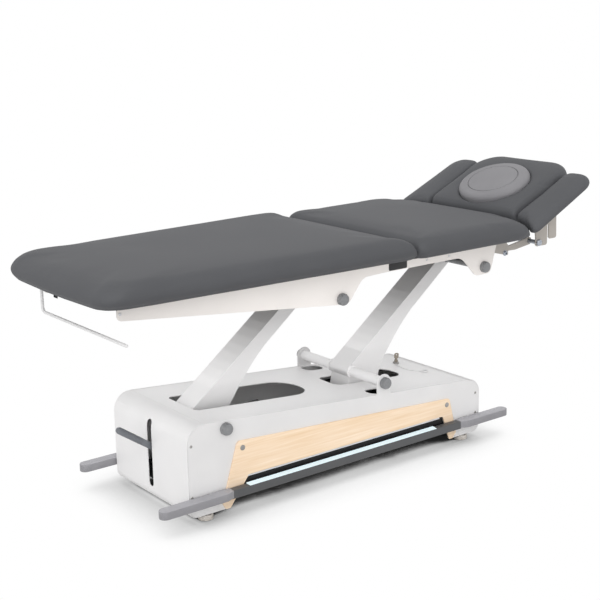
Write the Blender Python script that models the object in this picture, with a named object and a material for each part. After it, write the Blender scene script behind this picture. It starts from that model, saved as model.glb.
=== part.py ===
"""Electric physiotherapy table on a parallelogram lift.

Metres, +Z up, floor at Z = 0. +X is the head end, -Y is the side with the tethered key's anchor.
The table stands at half height with the head section raised to its upper stop.
"""

import math

import bmesh
import bpy
from mathutils import Matrix, Vector

for old in list(bpy.data.objects):
    bpy.data.objects.remove(old, do_unlink=True)

# Clearances
SEAT_GAP = 0.0003
BORE_CLEARANCE = 0.0008
SLIDE_CLEARANCE = 0.0005

# Base housing
BASE_LENGTH = 1.260
BASE_WIDTH = 0.447
BASE_BOTTOM = 0.022
BASE_FOOT_HEIGHT = 0.3247
BASE_SLOPE = math.radians(4.711)
SIDE_SHEET = 0.004
COVER_SHEET = 0.003
FOOT_CORNER = 0.058
HEAD_CORNER = 0.055
BOTTOM_CORNER = 0.030
FOOT_SEAM = 0.066
HEAD_SEAM = 0.060
LEVER_SLOT_LOW = 0.064
LEVER_SLOT_WIDTH = 0.027
LEVER_SLOT_HIGH = 0.290

# Lift linkage
LOWER_PIVOT_INSET = 0.142
LOWER_PIVOT_HEIGHT = 0.288
PIVOT_SPACING = 0.655
PIVOT_RISE = 0.012
ARM_LENGTH = 0.573
ARM_ANGLE = math.radians(36.27)
ARM_HALF_WIDTH = 0.050
ARM_WALL = 0.006
ARM_FLARE = 0.098
ARM_HUB = 0.0185
AXLE_RADIUS = 0.012
CAP_RADIUS = 0.020
CAP_DEPTH = 0.019
EAR_RADIUS = 0.030
SPACER_RADIUS = 0.0175
SPACER_FLANGE = 0.0228
DRIVE_ARM_S = -0.056
DRIVE_ARM_D = -0.083
DRIVE_PIN_RADIUS = 0.005
DRIVE_EYE_HOLE = 0.0135

# Feet, chassis and castor lift
FOOT_RADIUS = 0.030
RAIL_WIDTH = 0.039
RAIL_HEIGHT = 0.036
RAIL_WAIST = 0.014
CASTOR_RADIUS = 0.030
CASTOR_WIDTH = 0.018
CASTOR_HALF_TRACK = 0.110
CASTOR_INSET = 0.190
CASTOR_FLOOR_GAP = 0.006
LEVER_PIVOT_INSET = 0.097
LEVER_PIVOT_HEIGHT = 0.135
LEVER_ANGLE = math.radians(35)
LEVER_BAR_LENGTH = 0.172
LEVER_BAR_DEPTH = 0.021
LEVER_BAR_WIDTH = 0.012
GRIP_LENGTH = 0.084
GRIP_RADIUS = 0.0105

# Side panels and switch bars
PANEL_THICKNESS = 0.0048
PANEL_TOP = 0.237
PANEL_SLOPE = 0.064
PANEL_NOTCH = 0.117
PANEL_FOOT_INSET = 0.183
PANEL_HEAD_INSET = 0.1555
BAR_LENGTH = 1.491
BAR_FOOT_OVERHANG = 0.121
BAR_TOP = 0.092
BAR_HEIGHT = 0.028
BAR_DEPTH = 0.0275
BAR_PIVOT_DROP = 0.014
PEDAL_TOP = 0.0928
PEDAL_HEIGHT = 0.0253
PEDAL_DEPTH = 0.040
PEDAL_FOOT_LENGTH = 0.2645
PEDAL_HEAD_LENGTH = 0.237
PEDAL_TAPER = 0.029
BAR_STANDOFF = 0.0025
BAR_PIVOT_INSET = 0.0585
BAR_TUBE_RADIUS = 0.009

# Table frame, measured from the upper foot pivot
FRAME_TOP = 0.1017
FRAME_FOOT_REACH = 0.823
FRAME_SHEET = 0.006
FRAME_SIDE_GAP = 0.005
STRIP_BOTTOM = 0.060
LOBE_BOTTOM = -0.016
BOARD_THICKNESS = 0.0115
LEG_FOOT_OVERHANG = 0.089
LEG_SEAM = 0.224
SEAM_GAP = 0.003
MID_HEAD_END = 0.828
PAD_HEIGHT = 0.0840
MID_DROP = 0.008
PAD_CROWN = 0.005
PAD_HALF_WIDTH = 0.372
LEG_FOOT_HALF_WIDTH = 0.333
LEG_NOSE = 0.082
LEG_HINGE_DROP = 0.074
MID_NOSE = 0.130
PAD_ROLL = 0.034
PAD_FALL = 0.046
LEG_DRAW = 0.066
MID_DRAW = 0.042
LEG_PIN_RADIUS = 0.006
LEG_RAISE = math.radians(30)
LEG_EYE = 0.013

# Head section, measured from its hinge axis as if it lay flat
HEAD_HINGE_X = 0.896
HEAD_HINGE_Z = 0.073
HEAD_TILT = math.radians(25)
HEAD_START = -0.030
HEAD_LENGTH = 0.372
HEAD_HALF_WIDTH = 0.2225
HEAD_PAD_HEIGHT = 0.074
HEAD_PROUD = 0.017
HEAD_PLATE = 0.006
HINGE_RADIUS = 0.008
HINGE_EYE = 0.014
PLUG_X = 0.125
PLUG_HALF_LENGTH = 0.127
PLUG_HALF_WIDTH = 0.147
PLUG_CROWN = 0.005
PLUG_PROUD = 0.022
PLUG_GAP = 0.0015
ARMREST_GAP = 0.006
ARMREST_WIDTH = 0.132
ARMREST_LENGTH = 0.320
ARMREST_SLANT = 0.055
ARMREST_TAPER = 0.014
ARMREST_PAD_HEIGHT = 0.049
ARMREST_PROUD = 0.013
ARMREST_PLATE = 0.004
GAS_PIVOT_X = -0.250
GAS_PIVOT_Z = -0.020
GAS_LEVER_X = 0.0225
GAS_LEVER_Z = -0.045
GAS_Y = 0.100
GAS_RADIUS = 0.010
GAS_ROD_RADIUS = 0.005

# Paper roll holder, key and tether
ROLL_ROD_RADIUS = 0.005
ROLL_DROP = 0.101
ROLL_REACH = 0.525
ROLL_Y = 0.222
KEY_FROM_HEAD = 0.128
KEY_Y = 0.088
LOCK_RADIUS = 0.012
KEY_HEIGHT = 0.040
ANCHOR_FROM_HEAD = 0.120
ANCHOR_Y = -0.063
ANCHOR_RADIUS = 0.0095
TETHER_RADIUS = 0.001

# Positions that follow from the sizes
FOOT_FACE = -BASE_LENGTH / 2
HEAD_FACE = BASE_LENGTH / 2
SIDE_OUT = BASE_WIDTH / 2
SIDE_IN = SIDE_OUT - SIDE_SHEET
LOWER_FOOT = (FOOT_FACE + LOWER_PIVOT_INSET, LOWER_PIVOT_HEIGHT)
LOWER_HEAD = (LOWER_FOOT[0] + PIVOT_SPACING, LOWER_FOOT[1] + PIVOT_RISE)
ARM_RUN = (ARM_LENGTH * math.cos(ARM_ANGLE), ARM_LENGTH * math.sin(ARM_ANGLE))
UPPER_FOOT = (LOWER_FOOT[0] + ARM_RUN[0], LOWER_FOOT[1] + ARM_RUN[1])
UPPER_HEAD = (LOWER_HEAD[0] + ARM_RUN[0], LOWER_HEAD[1] + ARM_RUN[1])
FRAME_IN = SIDE_OUT + FRAME_SIDE_GAP
FRAME_OUT = FRAME_IN + FRAME_SHEET
BOARD_LOW = FRAME_TOP + SEAT_GAP
BOARD_HIGH = BOARD_LOW + BOARD_THICKNESS
PAD_LOW = BOARD_HIGH + SEAT_GAP
PAD_HIGH = PAD_LOW + PAD_HEIGHT
LEG_FOOT_REACH = FRAME_FOOT_REACH + LEG_FOOT_OVERHANG
MID_HIGH = PAD_HIGH - MID_DROP
LEG_AXIS = (UPPER_FOOT[0] + LEG_SEAM - LEG_NOSE, UPPER_FOOT[1] + PAD_HIGH - LEG_HINGE_DROP)
HINGE = (UPPER_FOOT[0] + HEAD_HINGE_X, UPPER_FOOT[1] + HEAD_HINGE_Z)
HEAD_TOP = PAD_HIGH - HEAD_HINGE_Z + HEAD_PROUD
ARMREST_TOP = PAD_HIGH - HEAD_HINGE_Z + ARMREST_PROUD
HEAD_PAD_LOW = HEAD_TOP - HEAD_PAD_HEIGHT
HEAD_PLATE_HIGH = HEAD_PAD_LOW - SEAT_GAP
HEAD_PLATE_LOW = HEAD_PLATE_HIGH - HEAD_PLATE
ARMREST_IN = HEAD_HALF_WIDTH + ARMREST_GAP
ARMREST_OUT = ARMREST_IN + ARMREST_WIDTH
ARMREST_LOW = ARMREST_TOP - ARMREST_PAD_HEIGHT
ARMREST_PLATE_LOW = ARMREST_LOW - SEAT_GAP - ARMREST_PLATE
LEG_SIDE_EDGE = (PAD_ROLL, PAD_FALL, LEG_DRAW)
MID_SIDE_EDGE = (PAD_ROLL, PAD_FALL, MID_DRAW)
SEAM_EDGE = (PAD_ROLL, PAD_FALL, 0.018)
FOOT_EDGE = (0.080, 0.054, 0.040)
LEG_NOSE_EDGE = (LEG_NOSE, LEG_HINGE_DROP, 0.012)
MID_NOSE_EDGE = (MID_NOSE, PAD_HEIGHT - MID_DROP - 0.006, 0.010)
HEAD_FALL = HEAD_PAD_HEIGHT * 0.55
ARMREST_FALL = ARMREST_PAD_HEIGHT * 0.64
PLUG_EDGE = (0.022, 0.020, 0.004)
CORNER_PULL = 0.22

AXES = {
    "X": lambda a, b, depth: (depth, a, b),
    "Y": lambda a, b, depth: (a, depth, b),
    "Z": lambda a, b, depth: (a, b, depth),
}
pieces = {}
materials = {}


def material(name, colour, roughness, metallic=0.0):
    """A plain Principled material, made once for each name."""
    if name not in materials:
        made = bpy.data.materials.new(name)
        made.use_nodes = True
        shader = made.node_tree.nodes["Principled BSDF"]
        shader.inputs["Base Color"].default_value = (*colour, 1.0)
        shader.inputs["Roughness"].default_value = roughness
        shader.inputs["Metallic"].default_value = metallic
        materials[name] = made
    return materials[name]


WHITE = material("white_paint", (0.80, 0.79, 0.76), 0.40)
STEEL = material("steel", (0.42, 0.43, 0.45), 0.35, 0.9)
GREY = material("grey_plastic", (0.25, 0.25, 0.26), 0.45)
DARK = material("dark_coating", (0.10, 0.11, 0.12), 0.50)
BLACK = material("black_plastic", (0.02, 0.02, 0.022), 0.50)
RUBBER = material("rubber", (0.02, 0.02, 0.02), 0.80)
WOOD = material("pale_wood", (0.85, 0.66, 0.45), 0.50)
BOARD = material("plywood", (0.60, 0.45, 0.28), 0.70)
VINYL = material("grey_vinyl", (0.14, 0.145, 0.15), 0.48)
PALE_VINYL = material("pale_grey_vinyl", (0.28, 0.28, 0.285), 0.48)
PALE = material("pale_plastic", (0.62, 0.61, 0.58), 0.50)
CORD = material("white_cord", (0.85, 0.85, 0.85), 0.60)


def mesh_piece(verts, faces):
    """A mesh object with its faces turned outwards."""
    mesh = bpy.data.meshes.new("solid")
    work = bmesh.new()
    points = [work.verts.new(vert) for vert in verts]
    for face in faces:
        work.faces.new([points[i] for i in face])
    bmesh.ops.recalc_face_normals(work, faces=work.faces)
    work.to_mesh(mesh)
    work.free()
    piece = bpy.data.objects.new("solid", mesh)
    bpy.context.scene.collection.objects.link(piece)
    return piece


def prism(outline, axis, low, high):
    """The solid between two copies of a closed outline, set square to the axis."""
    count = len(outline)
    verts = [AXES[axis](a, b, low) for a, b in outline]
    verts += [AXES[axis](a, b, high) for a, b in outline]
    faces = [tuple(range(count)), tuple(range(count, 2 * count))]
    for i in range(count):
        j = (i + 1) % count
        faces.append((i, j, count + j, count + i))
    return mesh_piece(verts, faces)


def box(low, high):
    """A rectangular block between two corners."""
    outline = [(low[0], low[1]), (high[0], low[1]), (high[0], high[1]), (low[0], high[1])]
    return prism(outline, "Z", low[2], high[2])


def arc(centre, radius, start, end, steps):
    """Points on a circle from one angle to another, in degrees."""
    points = []
    for i in range(steps + 1):
        angle = math.radians(start + (end - start) * i / steps)
        x = centre[0] + radius * math.cos(angle)
        points.append((x, centre[1] + radius * math.sin(angle)))
    return points


def disc(axis, centre, radius, low, high, sides=18):
    """A cylinder along one axis."""
    return prism(arc(centre, radius, 0, 360, sides)[:-1], axis, low, high)


def rounded(corners, steps=5):
    """A closed outline whose corners (a, b, radius) are rounded."""
    points = []
    count = len(corners)
    for i, (a, b, radius) in enumerate(corners):
        here = Vector((a, b))
        back = Vector(corners[i - 1][:2]) - here
        ahead = Vector(corners[(i + 1) % count][:2]) - here
        if radius <= 0:
            points.append((a, b))
            continue
        half = back.angle(ahead) / 2
        reach = min(radius / math.tan(half), 0.49 * back.length, 0.49 * ahead.length)
        radius = reach * math.tan(half)
        centre = here + (back.normalized() + ahead.normalized()).normalized() * (
            radius / math.sin(half)
        )
        start = here + back.normalized() * reach - centre
        end = here + ahead.normalized() * reach - centre
        turn = math.atan2(start.x * end.y - start.y * end.x, start.dot(end))
        first = math.degrees(math.atan2(start.y, start.x))
        points += arc(centre, radius, first, first + math.degrees(turn), steps)
    return points


def mirrored(points):
    """The same (x, y) outline on the other side of the middle plane."""
    return [(x, -y) for x, y in reversed(points)]


def rod_between(start, end, radius, sides=18):
    """A cylinder between two points."""
    start = Vector(start)
    span = Vector(end) - start
    piece = disc("Z", (0, 0), radius, 0, span.length, sides)
    turn = span.to_track_quat("Z", "Y").to_matrix().to_4x4()
    piece.data.transform(Matrix.Translation(start) @ turn)
    return piece


def shaped(piece, operation, tools):
    """One solid from a piece and the tools that are cut from it or joined to it."""
    for tool in tools:
        step = piece.modifiers.new(operation.lower(), "BOOLEAN")
        step.operation = operation
        step.solver = "EXACT"
        step.object = tool
    graph = bpy.context.evaluated_depsgraph_get()
    made = bpy.data.meshes.new_from_object(piece.evaluated_get(graph))
    piece.modifiers.clear()
    piece.data = made
    for tool in tools:
        bpy.data.objects.remove(tool, do_unlink=True)
    return piece


def cut(piece, *tools):
    """The piece with the tools taken out of it."""
    return shaped(piece, "DIFFERENCE", tools)


def join(piece, *tools):
    """The piece with the tools welded to it."""
    return shaped(piece, "UNION", tools)


def finish(piece, name, look, origin=(0, 0, 0)):
    """Names a piece, gives it its material and sets its origin."""
    piece.name = name
    piece.data.name = name
    piece.data.materials.clear()
    piece.data.materials.append(look)
    piece.data.transform(Matrix.Translation(-Vector(origin)))
    piece.location = origin
    piece.data.shade_smooth()
    piece.data.set_sharp_from_angle(angle=math.radians(32))
    pieces[name] = piece
    return piece


def tilted(piece, name, look):
    """A head piece modelled flat about its hinge, raised to the head's tilt."""
    finish(piece, name, look)
    piece.location = (HINGE[0], 0, HINGE[1])
    piece.rotation_euler = (0, -HEAD_TILT, 0)
    return piece


def ordered(low, high, side):
    """A Y range from two distances off the middle plane, on the side given as -1 or 1."""
    return (low, high) if side > 0 else (-high, -low)


def cushion(outline, low, high, crown, foot, head, front, back):
    """An upholstered pad: a rolled edge drawn in to its base, and a crowned top.

    foot, head, front and back give, for its four sides, how far in the top edge rolls, how far
    down it falls, and how far in the base edge is drawn.
    """
    count = len(outline)
    x0 = min(x for x, _ in outline)
    y0 = min(y for _, y in outline)
    length = max(x for x, _ in outline) - x0
    width = max(y for _, y in outline) - y0

    def drawn_in(part):
        """The outline drawn in from its four sides, as the top edge or the base edge is."""
        across = (length - foot[part] - head[part]) / length
        along = (width - front[part] - back[part]) / width
        return [
            (x0 + foot[part] + (x - x0) * across, y0 + front[part] + (y - y0) * along)
            for x, y in outline
        ]

    falls = []
    for i in range(count):
        way = Vector(outline[(i + 1) % count]) - Vector(outline[i - 1])
        outward = Vector((way.y, -way.x)).normalized()
        end = head if outward.x > 0 else foot
        side = back if outward.y > 0 else front
        share = min(1.0, max(0.0, (abs(outward.x) - 0.25) / 0.6))
        share = share * share * (3 - 2 * share)
        falls.append(side[1] + (end[1] - side[1]) * share)
    base = drawn_in(2)
    top = drawn_in(0)
    verts = []
    for angle in (90, 45):
        turn = math.radians(angle)
        share = 1 - math.cos(turn)
        for (x, y), (base_x, base_y), fall in zip(outline, base, falls):
            z = low + (high - low - fall) * (1 - math.sin(turn))
            verts.append((x + (base_x - x) * share, y + (base_y - y) * share, z))
    for angle in (0, 22.5, 45, 67.5, 90):
        turn = math.radians(angle)
        share = 1 - math.cos(turn)
        for (x, y), (top_x, top_y), fall in zip(outline, top, falls):
            z = high - fall * (1 - math.sin(turn))
            verts.append((x + (top_x - x) * share, y + (top_y - y) * share, z))
    rim = verts[-count:]
    xs = [x for x, _, _ in rim]
    ys = [y for _, y, _ in rim]
    middle_y = (min(ys) + max(ys)) / 2
    reach = min(max(xs) - min(xs), max(ys) - min(ys)) * 0.42
    for share in (0.30, 0.62):
        for x, y, z in rim:
            hub_x = min(max(x, min(xs) + reach), max(xs) - reach)
            inner_x = x + (hub_x - x) * share
            inner_y = y + (middle_y - y) * share
            verts.append((inner_x, inner_y, z + crown * (1 - (1 - share / 0.62) ** 2)))
    total = len(verts) // count
    faces = [tuple(range(count)), tuple(range((total - 1) * count, total * count))]
    for ring in range(total - 1):
        for i in range(count):
            j = (i + 1) % count
            faces.append(
                (ring * count + i, ring * count + j, (ring + 1) * count + j, (ring + 1) * count + i)
            )
    return mesh_piece(verts, faces)


def spread(points, count):
    """The closed outline with its points spread along it, closer together round its corners."""
    loop = [Vector(p) for p in points]
    total = len(loop)
    turns = []
    for i, here in enumerate(loop):
        turns.append((here - loop[i - 1]).angle(loop[(i + 1) % total] - here, 0.0))
    lengths = []
    for i, here in enumerate(loop):
        turn = (turns[i] + turns[(i + 1) % total]) / 2
        lengths.append((loop[(i + 1) % total] - here).length + CORNER_PULL * turn)
    step = sum(lengths) / count
    made = []
    i = 0
    done = 0.0
    for k in range(count):
        while i < total - 1 and done + lengths[i] < k * step:
            done += lengths[i]
            i += 1
        share = (k * step - done) / max(lengths[i], 1e-9)
        point = loop[i].lerp(loop[(i + 1) % total], share)
        made.append((point.x, point.y))
    return made


# Base housing: side plates with ears, top cover, end covers
def top_z(x):
    """Height of the sloping top of the base."""
    return BASE_FOOT_HEIGHT - (x - FOOT_FACE) * math.tan(BASE_SLOPE)


TOP_NORMAL = (math.sin(BASE_SLOPE), math.cos(BASE_SLOPE))
TOP_TURN = 90 - math.degrees(BASE_SLOPE)
FOOT_SEAM_X = FOOT_FACE + FOOT_SEAM
HEAD_SEAM_X = HEAD_FACE - HEAD_SEAM


def on_top(x, depth):
    """A point under the sloping top, measured square to it."""
    return (x - depth * TOP_NORMAL[0], top_z(x) - depth * TOP_NORMAL[1])


def end_path(side, depth):
    """Section of an end of the base, at a depth inside its skin, from the top seam to the floor side."""
    face = FOOT_FACE if side < 0 else HEAD_FACE
    corner = FOOT_CORNER if side < 0 else HEAD_CORNER
    seam = FOOT_SEAM_X if side < 0 else HEAD_SEAM_X
    x = face - side * corner
    centre = (x, top_z(x) - corner / math.cos(BASE_SLOPE))
    turned = 180 if side < 0 else 0
    low = (face - side * BOTTOM_CORNER, BASE_BOTTOM + BOTTOM_CORNER)
    path = [on_top(seam, depth)]
    path += arc(centre, corner - depth, TOP_TURN, turned, 8)
    path += arc(low, BOTTOM_CORNER - depth, turned, 270 if side < 0 else -90, 6)
    return path


cover_step = COVER_SHEET + SEAT_GAP
foot_inner = end_path(-1, cover_step)
head_inner = end_path(1, cover_step)
side_outline = [(FOOT_SEAM_X + SEAT_GAP, top_z(FOOT_SEAM_X + SEAT_GAP))]
side_outline.append(on_top(FOOT_SEAM_X + SEAT_GAP, cover_step))
side_outline += foot_inner[1:]
floor_foot = FOOT_FACE + BOTTOM_CORNER + SEAT_GAP
floor_head = HEAD_FACE - BOTTOM_CORNER - SEAT_GAP
side_outline += [(floor_foot, BASE_BOTTOM + cover_step), (floor_foot, BASE_BOTTOM)]
panel_foot = FOOT_FACE + PANEL_FOOT_INSET
panel_head = HEAD_FACE - PANEL_HEAD_INSET
side_outline += [(panel_foot - 0.037, BASE_BOTTOM), (panel_foot + 0.036, PANEL_NOTCH - 0.002)]
side_outline += [(panel_head - 0.029, PANEL_NOTCH - 0.002), (panel_head + 0.006, BASE_BOTTOM)]
side_outline += [(floor_head, BASE_BOTTOM), (floor_head, BASE_BOTTOM + cover_step)]
side_outline += list(reversed(head_inner[1:]))
side_outline.append(on_top(HEAD_SEAM_X - SEAT_GAP, cover_step))
side_outline.append((HEAD_SEAM_X - SEAT_GAP, top_z(HEAD_SEAM_X - SEAT_GAP)))
ear_head = LOWER_HEAD[0] + EAR_RADIUS
ear_foot = LOWER_HEAD[0] - EAR_RADIUS
side_outline.append((ear_head, top_z(ear_head)))
side_outline += arc(LOWER_HEAD, EAR_RADIUS, 0, 180, 12)
side_outline.append((ear_foot, top_z(ear_foot)))

for side, word in ((-1, "front"), (1, "back")):
    low, high = ordered(SIDE_IN, SIDE_OUT, side)
    plate = prism(side_outline, "Y", low, high)
    holes = []
    for pivot in (LOWER_FOOT, LOWER_HEAD):
        holes.append(disc("Y", pivot, AXLE_RADIUS + BORE_CLEARANCE / 2, low - 0.01, high + 0.01))
    finish(cut(plate, *holes), "side_plate_" + word, WHITE)

for side, word in ((-1, "foot"), (1, "head")):
    section = end_path(side, 0) + list(reversed(end_path(side, COVER_SHEET)))
    cover = prism(section, "Y", -SIDE_OUT, SIDE_OUT)
    if side < 0:
        slot_half = LEVER_SLOT_WIDTH / 2
        slot = rounded(
            [
                (-slot_half, LEVER_SLOT_LOW, slot_half),
                (slot_half, LEVER_SLOT_LOW, slot_half),
                (slot_half, LEVER_SLOT_HIGH, slot_half),
                (-slot_half, LEVER_SLOT_HIGH, slot_half),
            ],
            4,
        )
        cover = cut(cover, prism(slot, "X", FOOT_FACE - 0.01, FOOT_FACE + 0.02))
    finish(cover, "end_cover_" + word, WHITE)

COVER_FOOT_X = FOOT_SEAM_X + SEAT_GAP
COVER_HEAD_X = HEAD_SEAM_X - SEAT_GAP
top_section = [
    on_top(COVER_FOOT_X, 0),
    on_top(COVER_FOOT_X, COVER_SHEET),
    on_top(COVER_HEAD_X, COVER_SHEET),
    on_top(COVER_HEAD_X, 0),
]
top_cover = prism(top_section, "Y", -SIDE_IN + SEAT_GAP, SIDE_IN - SEAT_GAP)
slot_foot = LOWER_FOOT[0] - ARM_HUB
slot_head = LOWER_FOOT[0] + ARM_RUN[0] - 0.002
slot_half = ARM_HALF_WIDTH + 0.040
foot_slot = rounded(
    [
        (slot_foot, -slot_half, 0.020),
        (slot_head, -slot_half, slot_half * 0.95),
        (slot_head, slot_half, slot_half * 0.95),
        (slot_foot, slot_half, 0.020),
    ],
    8,
)
head_half = ARM_HALF_WIDTH + 0.009
head_slot = rounded(
    [
        (LOWER_HEAD[0] - 0.072, -head_half, 0.03),
        (LOWER_HEAD[0] + 0.245, -head_half, 0.05),
        (LOWER_HEAD[0] + 0.245, head_half, 0.05),
        (LOWER_HEAD[0] - 0.072, head_half, 0.03),
    ],
    6,
)
openings = [prism(foot_slot, "Z", 0.1, 0.5), prism(head_slot, "Z", 0.1, 0.5)]
for side in (-1, 1):
    low, high = ordered(SIDE_IN - 0.070, SIDE_IN - 0.011, side)
    ear_slot = rounded(
        [
            (LOWER_HEAD[0] - 0.037, low, 0.026),
            (LOWER_HEAD[0] + 0.045, low, 0.026),
            (LOWER_HEAD[0] + 0.045, high, 0.026),
            (LOWER_HEAD[0] - 0.037, high, 0.026),
        ],
        6,
    )
    openings.append(prism(ear_slot, "Z", 0.1, 0.5))
KEY_X = HEAD_FACE - KEY_FROM_HEAD
KEY_AT = (KEY_X, KEY_Y, top_z(KEY_X))
LOCK_BARREL = LOCK_RADIUS * 0.75
lock_hole = disc("Z", (0, 0), LOCK_BARREL + BORE_CLEARANCE / 2, -0.03, 0.03)
lock_frame = Matrix.Translation(KEY_AT) @ Matrix.Rotation(BASE_SLOPE, 4, "Y")
lock_hole.data.transform(lock_frame)
openings.append(lock_hole)
finish(cut(top_cover, *openings), "top_cover", WHITE)

# Lower axles with grey caps, and the spacer tubes beside the head arm
for pivot, word in ((LOWER_FOOT, "foot"), (LOWER_HEAD, "head")):
    cap_in = SIDE_OUT + SEAT_GAP
    axle = disc("Y", pivot, AXLE_RADIUS, -cap_in - 0.004, cap_in + 0.004)
    caps = []
    for side in (-1, 1):
        low, high = ordered(cap_in, cap_in + CAP_DEPTH * 0.8, side)
        caps.append(disc("Y", pivot, CAP_RADIUS, low, high))
        low, high = ordered(cap_in + CAP_DEPTH * 0.7, cap_in + CAP_DEPTH, side)
        caps.append(disc("Y", pivot, CAP_RADIUS * 0.86, low, high))
    finish(join(axle, *caps), "lower_axle_" + word, GREY, (pivot[0], 0, pivot[1]))

for side, word in ((-1, "front"), (1, "back")):
    inner = ARM_HALF_WIDTH + 0.001
    low, high = ordered(inner, SIDE_IN - SEAT_GAP, side)
    tube = disc("Y", LOWER_HEAD, SPACER_RADIUS, low, high)
    low, high = ordered(inner, inner + 0.005, side)
    flange = disc("Y", LOWER_HEAD, SPACER_FLANGE, low, high)
    bore = disc("Y", LOWER_HEAD, AXLE_RADIUS + BORE_CLEARANCE / 2, -SIDE_OUT, SIDE_OUT)
    finish(cut(join(tube, flange), bore), "spacer_tube_" + word, WHITE)


# Lift arms: channels that flare towards the base
def on_arm(pivot, s, d):
    """A point along and across an arm, from its lower pivot."""
    x = pivot[0] + s * math.cos(ARM_ANGLE) - d * math.sin(ARM_ANGLE)
    return (x, pivot[1] + s * math.sin(ARM_ANGLE) + d * math.cos(ARM_ANGLE))


UNDERSIDE = [
    (1.00, 0.158),
    (0.80, 0.195),
    (0.58, 0.242),
    (0.50, 0.305),
    (0.431, 0.388),
    (0.380, 0.463),
    (0.265, 0.663),
    (0.202, 0.792),
    (0.147, 1.000),
]


def lift_arm(pivot, tail):
    """An arm between its two bores, its lower end closed by the tail given."""
    top = ARM_LENGTH + 0.027
    corners = [(-ARM_HUB, ARM_HUB, ARM_HUB * 0.9), (top, 0.0318, 0.018), (top, -0.0155, 0.016)]
    corners += [(s * ARM_LENGTH, -d * ARM_FLARE, 0) for s, d in UNDERSIDE]
    corners += [(s, d, 0) for s, d in tail]
    world = [on_arm(pivot, s, d) for s, d in rounded(corners)]
    arm = prism(world, "Y", -ARM_HALF_WIDTH, ARM_HALF_WIDTH)
    inner = ARM_HALF_WIDTH - ARM_WALL
    channel = [(0.045, 0.010), (ARM_LENGTH - 0.045, 0.020), (ARM_LENGTH - 0.045, -0.2), (0.045, -0.2)]
    lever = [(-0.2, -0.045), (0.046, -0.045), (0.046, -0.2), (-0.2, -0.2)]
    tools = []
    for hollow in (channel, lever):
        tools.append(prism([on_arm(pivot, s, d) for s, d in hollow], "Y", -inner, inner))
    for s in (0, ARM_LENGTH):
        bore = AXLE_RADIUS + BORE_CLEARANCE
        tools.append(disc("Y", on_arm(pivot, s, 0), bore, -0.2, 0.2))
    return cut(arm, *tools)


flare = -ARM_FLARE
foot_tail = [(0.068, flare * 1.14), (0.040, flare * 1.10), (-0.012, flare * 0.40), (-ARM_HUB, -0.012)]
finish(lift_arm(LOWER_FOOT, foot_tail), "lift_arm_foot", WHITE, (LOWER_FOOT[0], 0, LOWER_FOOT[1]))

head_tail = [
    (0.070, flare * 1.16),
    (-0.035, DRIVE_ARM_D - 0.026),
    (DRIVE_ARM_S - 0.016, DRIVE_ARM_D - 0.018),
    (DRIVE_ARM_S - 0.026, DRIVE_ARM_D),
    (DRIVE_ARM_S - 0.020, DRIVE_ARM_D + 0.020),
    (-ARM_HUB, -0.012),
]
DRIVE_PIN = on_arm(LOWER_HEAD, DRIVE_ARM_S, DRIVE_ARM_D)
pin_half = ARM_HALF_WIDTH - ARM_WALL / 2
drive_pin = disc("Y", DRIVE_PIN, DRIVE_PIN_RADIUS, -pin_half, pin_half, 16)
head_arm = join(lift_arm(LOWER_HEAD, head_tail), drive_pin)
finish(head_arm, "lift_arm_head", WHITE, (LOWER_HEAD[0], 0, LOWER_HEAD[1]))

# Lift motor: housing with its tube, and the rod that pushes the head arm's lever
DRIVE_Z = DRIVE_PIN[1] + 0.007
MOTOR_X = DRIVE_PIN[0] - 0.345
TUBE_END = DRIVE_PIN[0] - 0.150
ROD_RADIUS = 0.011
motor = box((MOTOR_X - 0.08, -0.045, DRIVE_Z - 0.042), (MOTOR_X, 0.045, DRIVE_Z + 0.040))
tube = disc("X", (0, DRIVE_Z), 0.024, MOTOR_X - 0.01, TUBE_END)
bore = disc("X", (0, DRIVE_Z), ROD_RADIUS + BORE_CLEARANCE, MOTOR_X - 0.05, TUBE_END + 0.01)
finish(cut(join(motor, tube), bore), "lift_motor_housing", BLACK)
rod = disc("X", (0, DRIVE_Z), ROD_RADIUS, TUBE_END - 0.095, DRIVE_PIN[0] - DRIVE_EYE_HOLE - 0.001)
eye = disc("Y", (DRIVE_PIN[0], DRIVE_Z), DRIVE_EYE_HOLE + 0.006, -0.010, 0.010)
eye_hole = disc("Y", (DRIVE_PIN[0], DRIVE_Z), DRIVE_EYE_HOLE, -0.02, 0.02)
finish(cut(join(rod, eye), eye_hole), "lift_motor_rod", STEEL, (DRIVE_PIN[0], 0, DRIVE_Z))

# Chassis: rails, cross bars, castor guides, lever lugs and switch bar lugs
RAIL_LOW = BASE_BOTTOM + 0.002
RAIL_HIGH = RAIL_LOW + RAIL_HEIGHT
RAIL_OUT = SIDE_IN - SEAT_GAP
RAIL_IN = RAIL_OUT - RAIL_WIDTH
LEVER_PIVOT = (FOOT_FACE + LEVER_PIVOT_INSET, LEVER_PIVOT_HEIGHT)
BAR_PIVOT_Y = SIDE_OUT - BAR_PIVOT_INSET
BAR_PIVOT_Z = BAR_TOP - BAR_PIVOT_DROP
CASTOR_X = (FOOT_FACE + CASTOR_INSET, HEAD_FACE - CASTOR_INSET + 0.020)
BEAM_HALF = 0.015
LUG_X = 0.260
LEVER_PIN = 0.006
WAIST_LOW = RAIL_HIGH - RAIL_WAIST
rail_outline = [
    (FOOT_FACE + 0.045, RAIL_LOW),
    (panel_foot - 0.044, RAIL_LOW),
    (panel_foot - 0.028, WAIST_LOW),
    (panel_head - 0.006, WAIST_LOW),
    (panel_head + 0.008, RAIL_LOW),
    (HEAD_FACE - 0.045, RAIL_LOW),
    (HEAD_FACE - 0.045, RAIL_HIGH),
    (FOOT_FACE + 0.045, RAIL_HIGH),
]
chassis = prism(rail_outline, "Y", -RAIL_OUT, -RAIL_IN)
welds = [prism(rail_outline, "Y", RAIL_IN, RAIL_OUT)]
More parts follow.
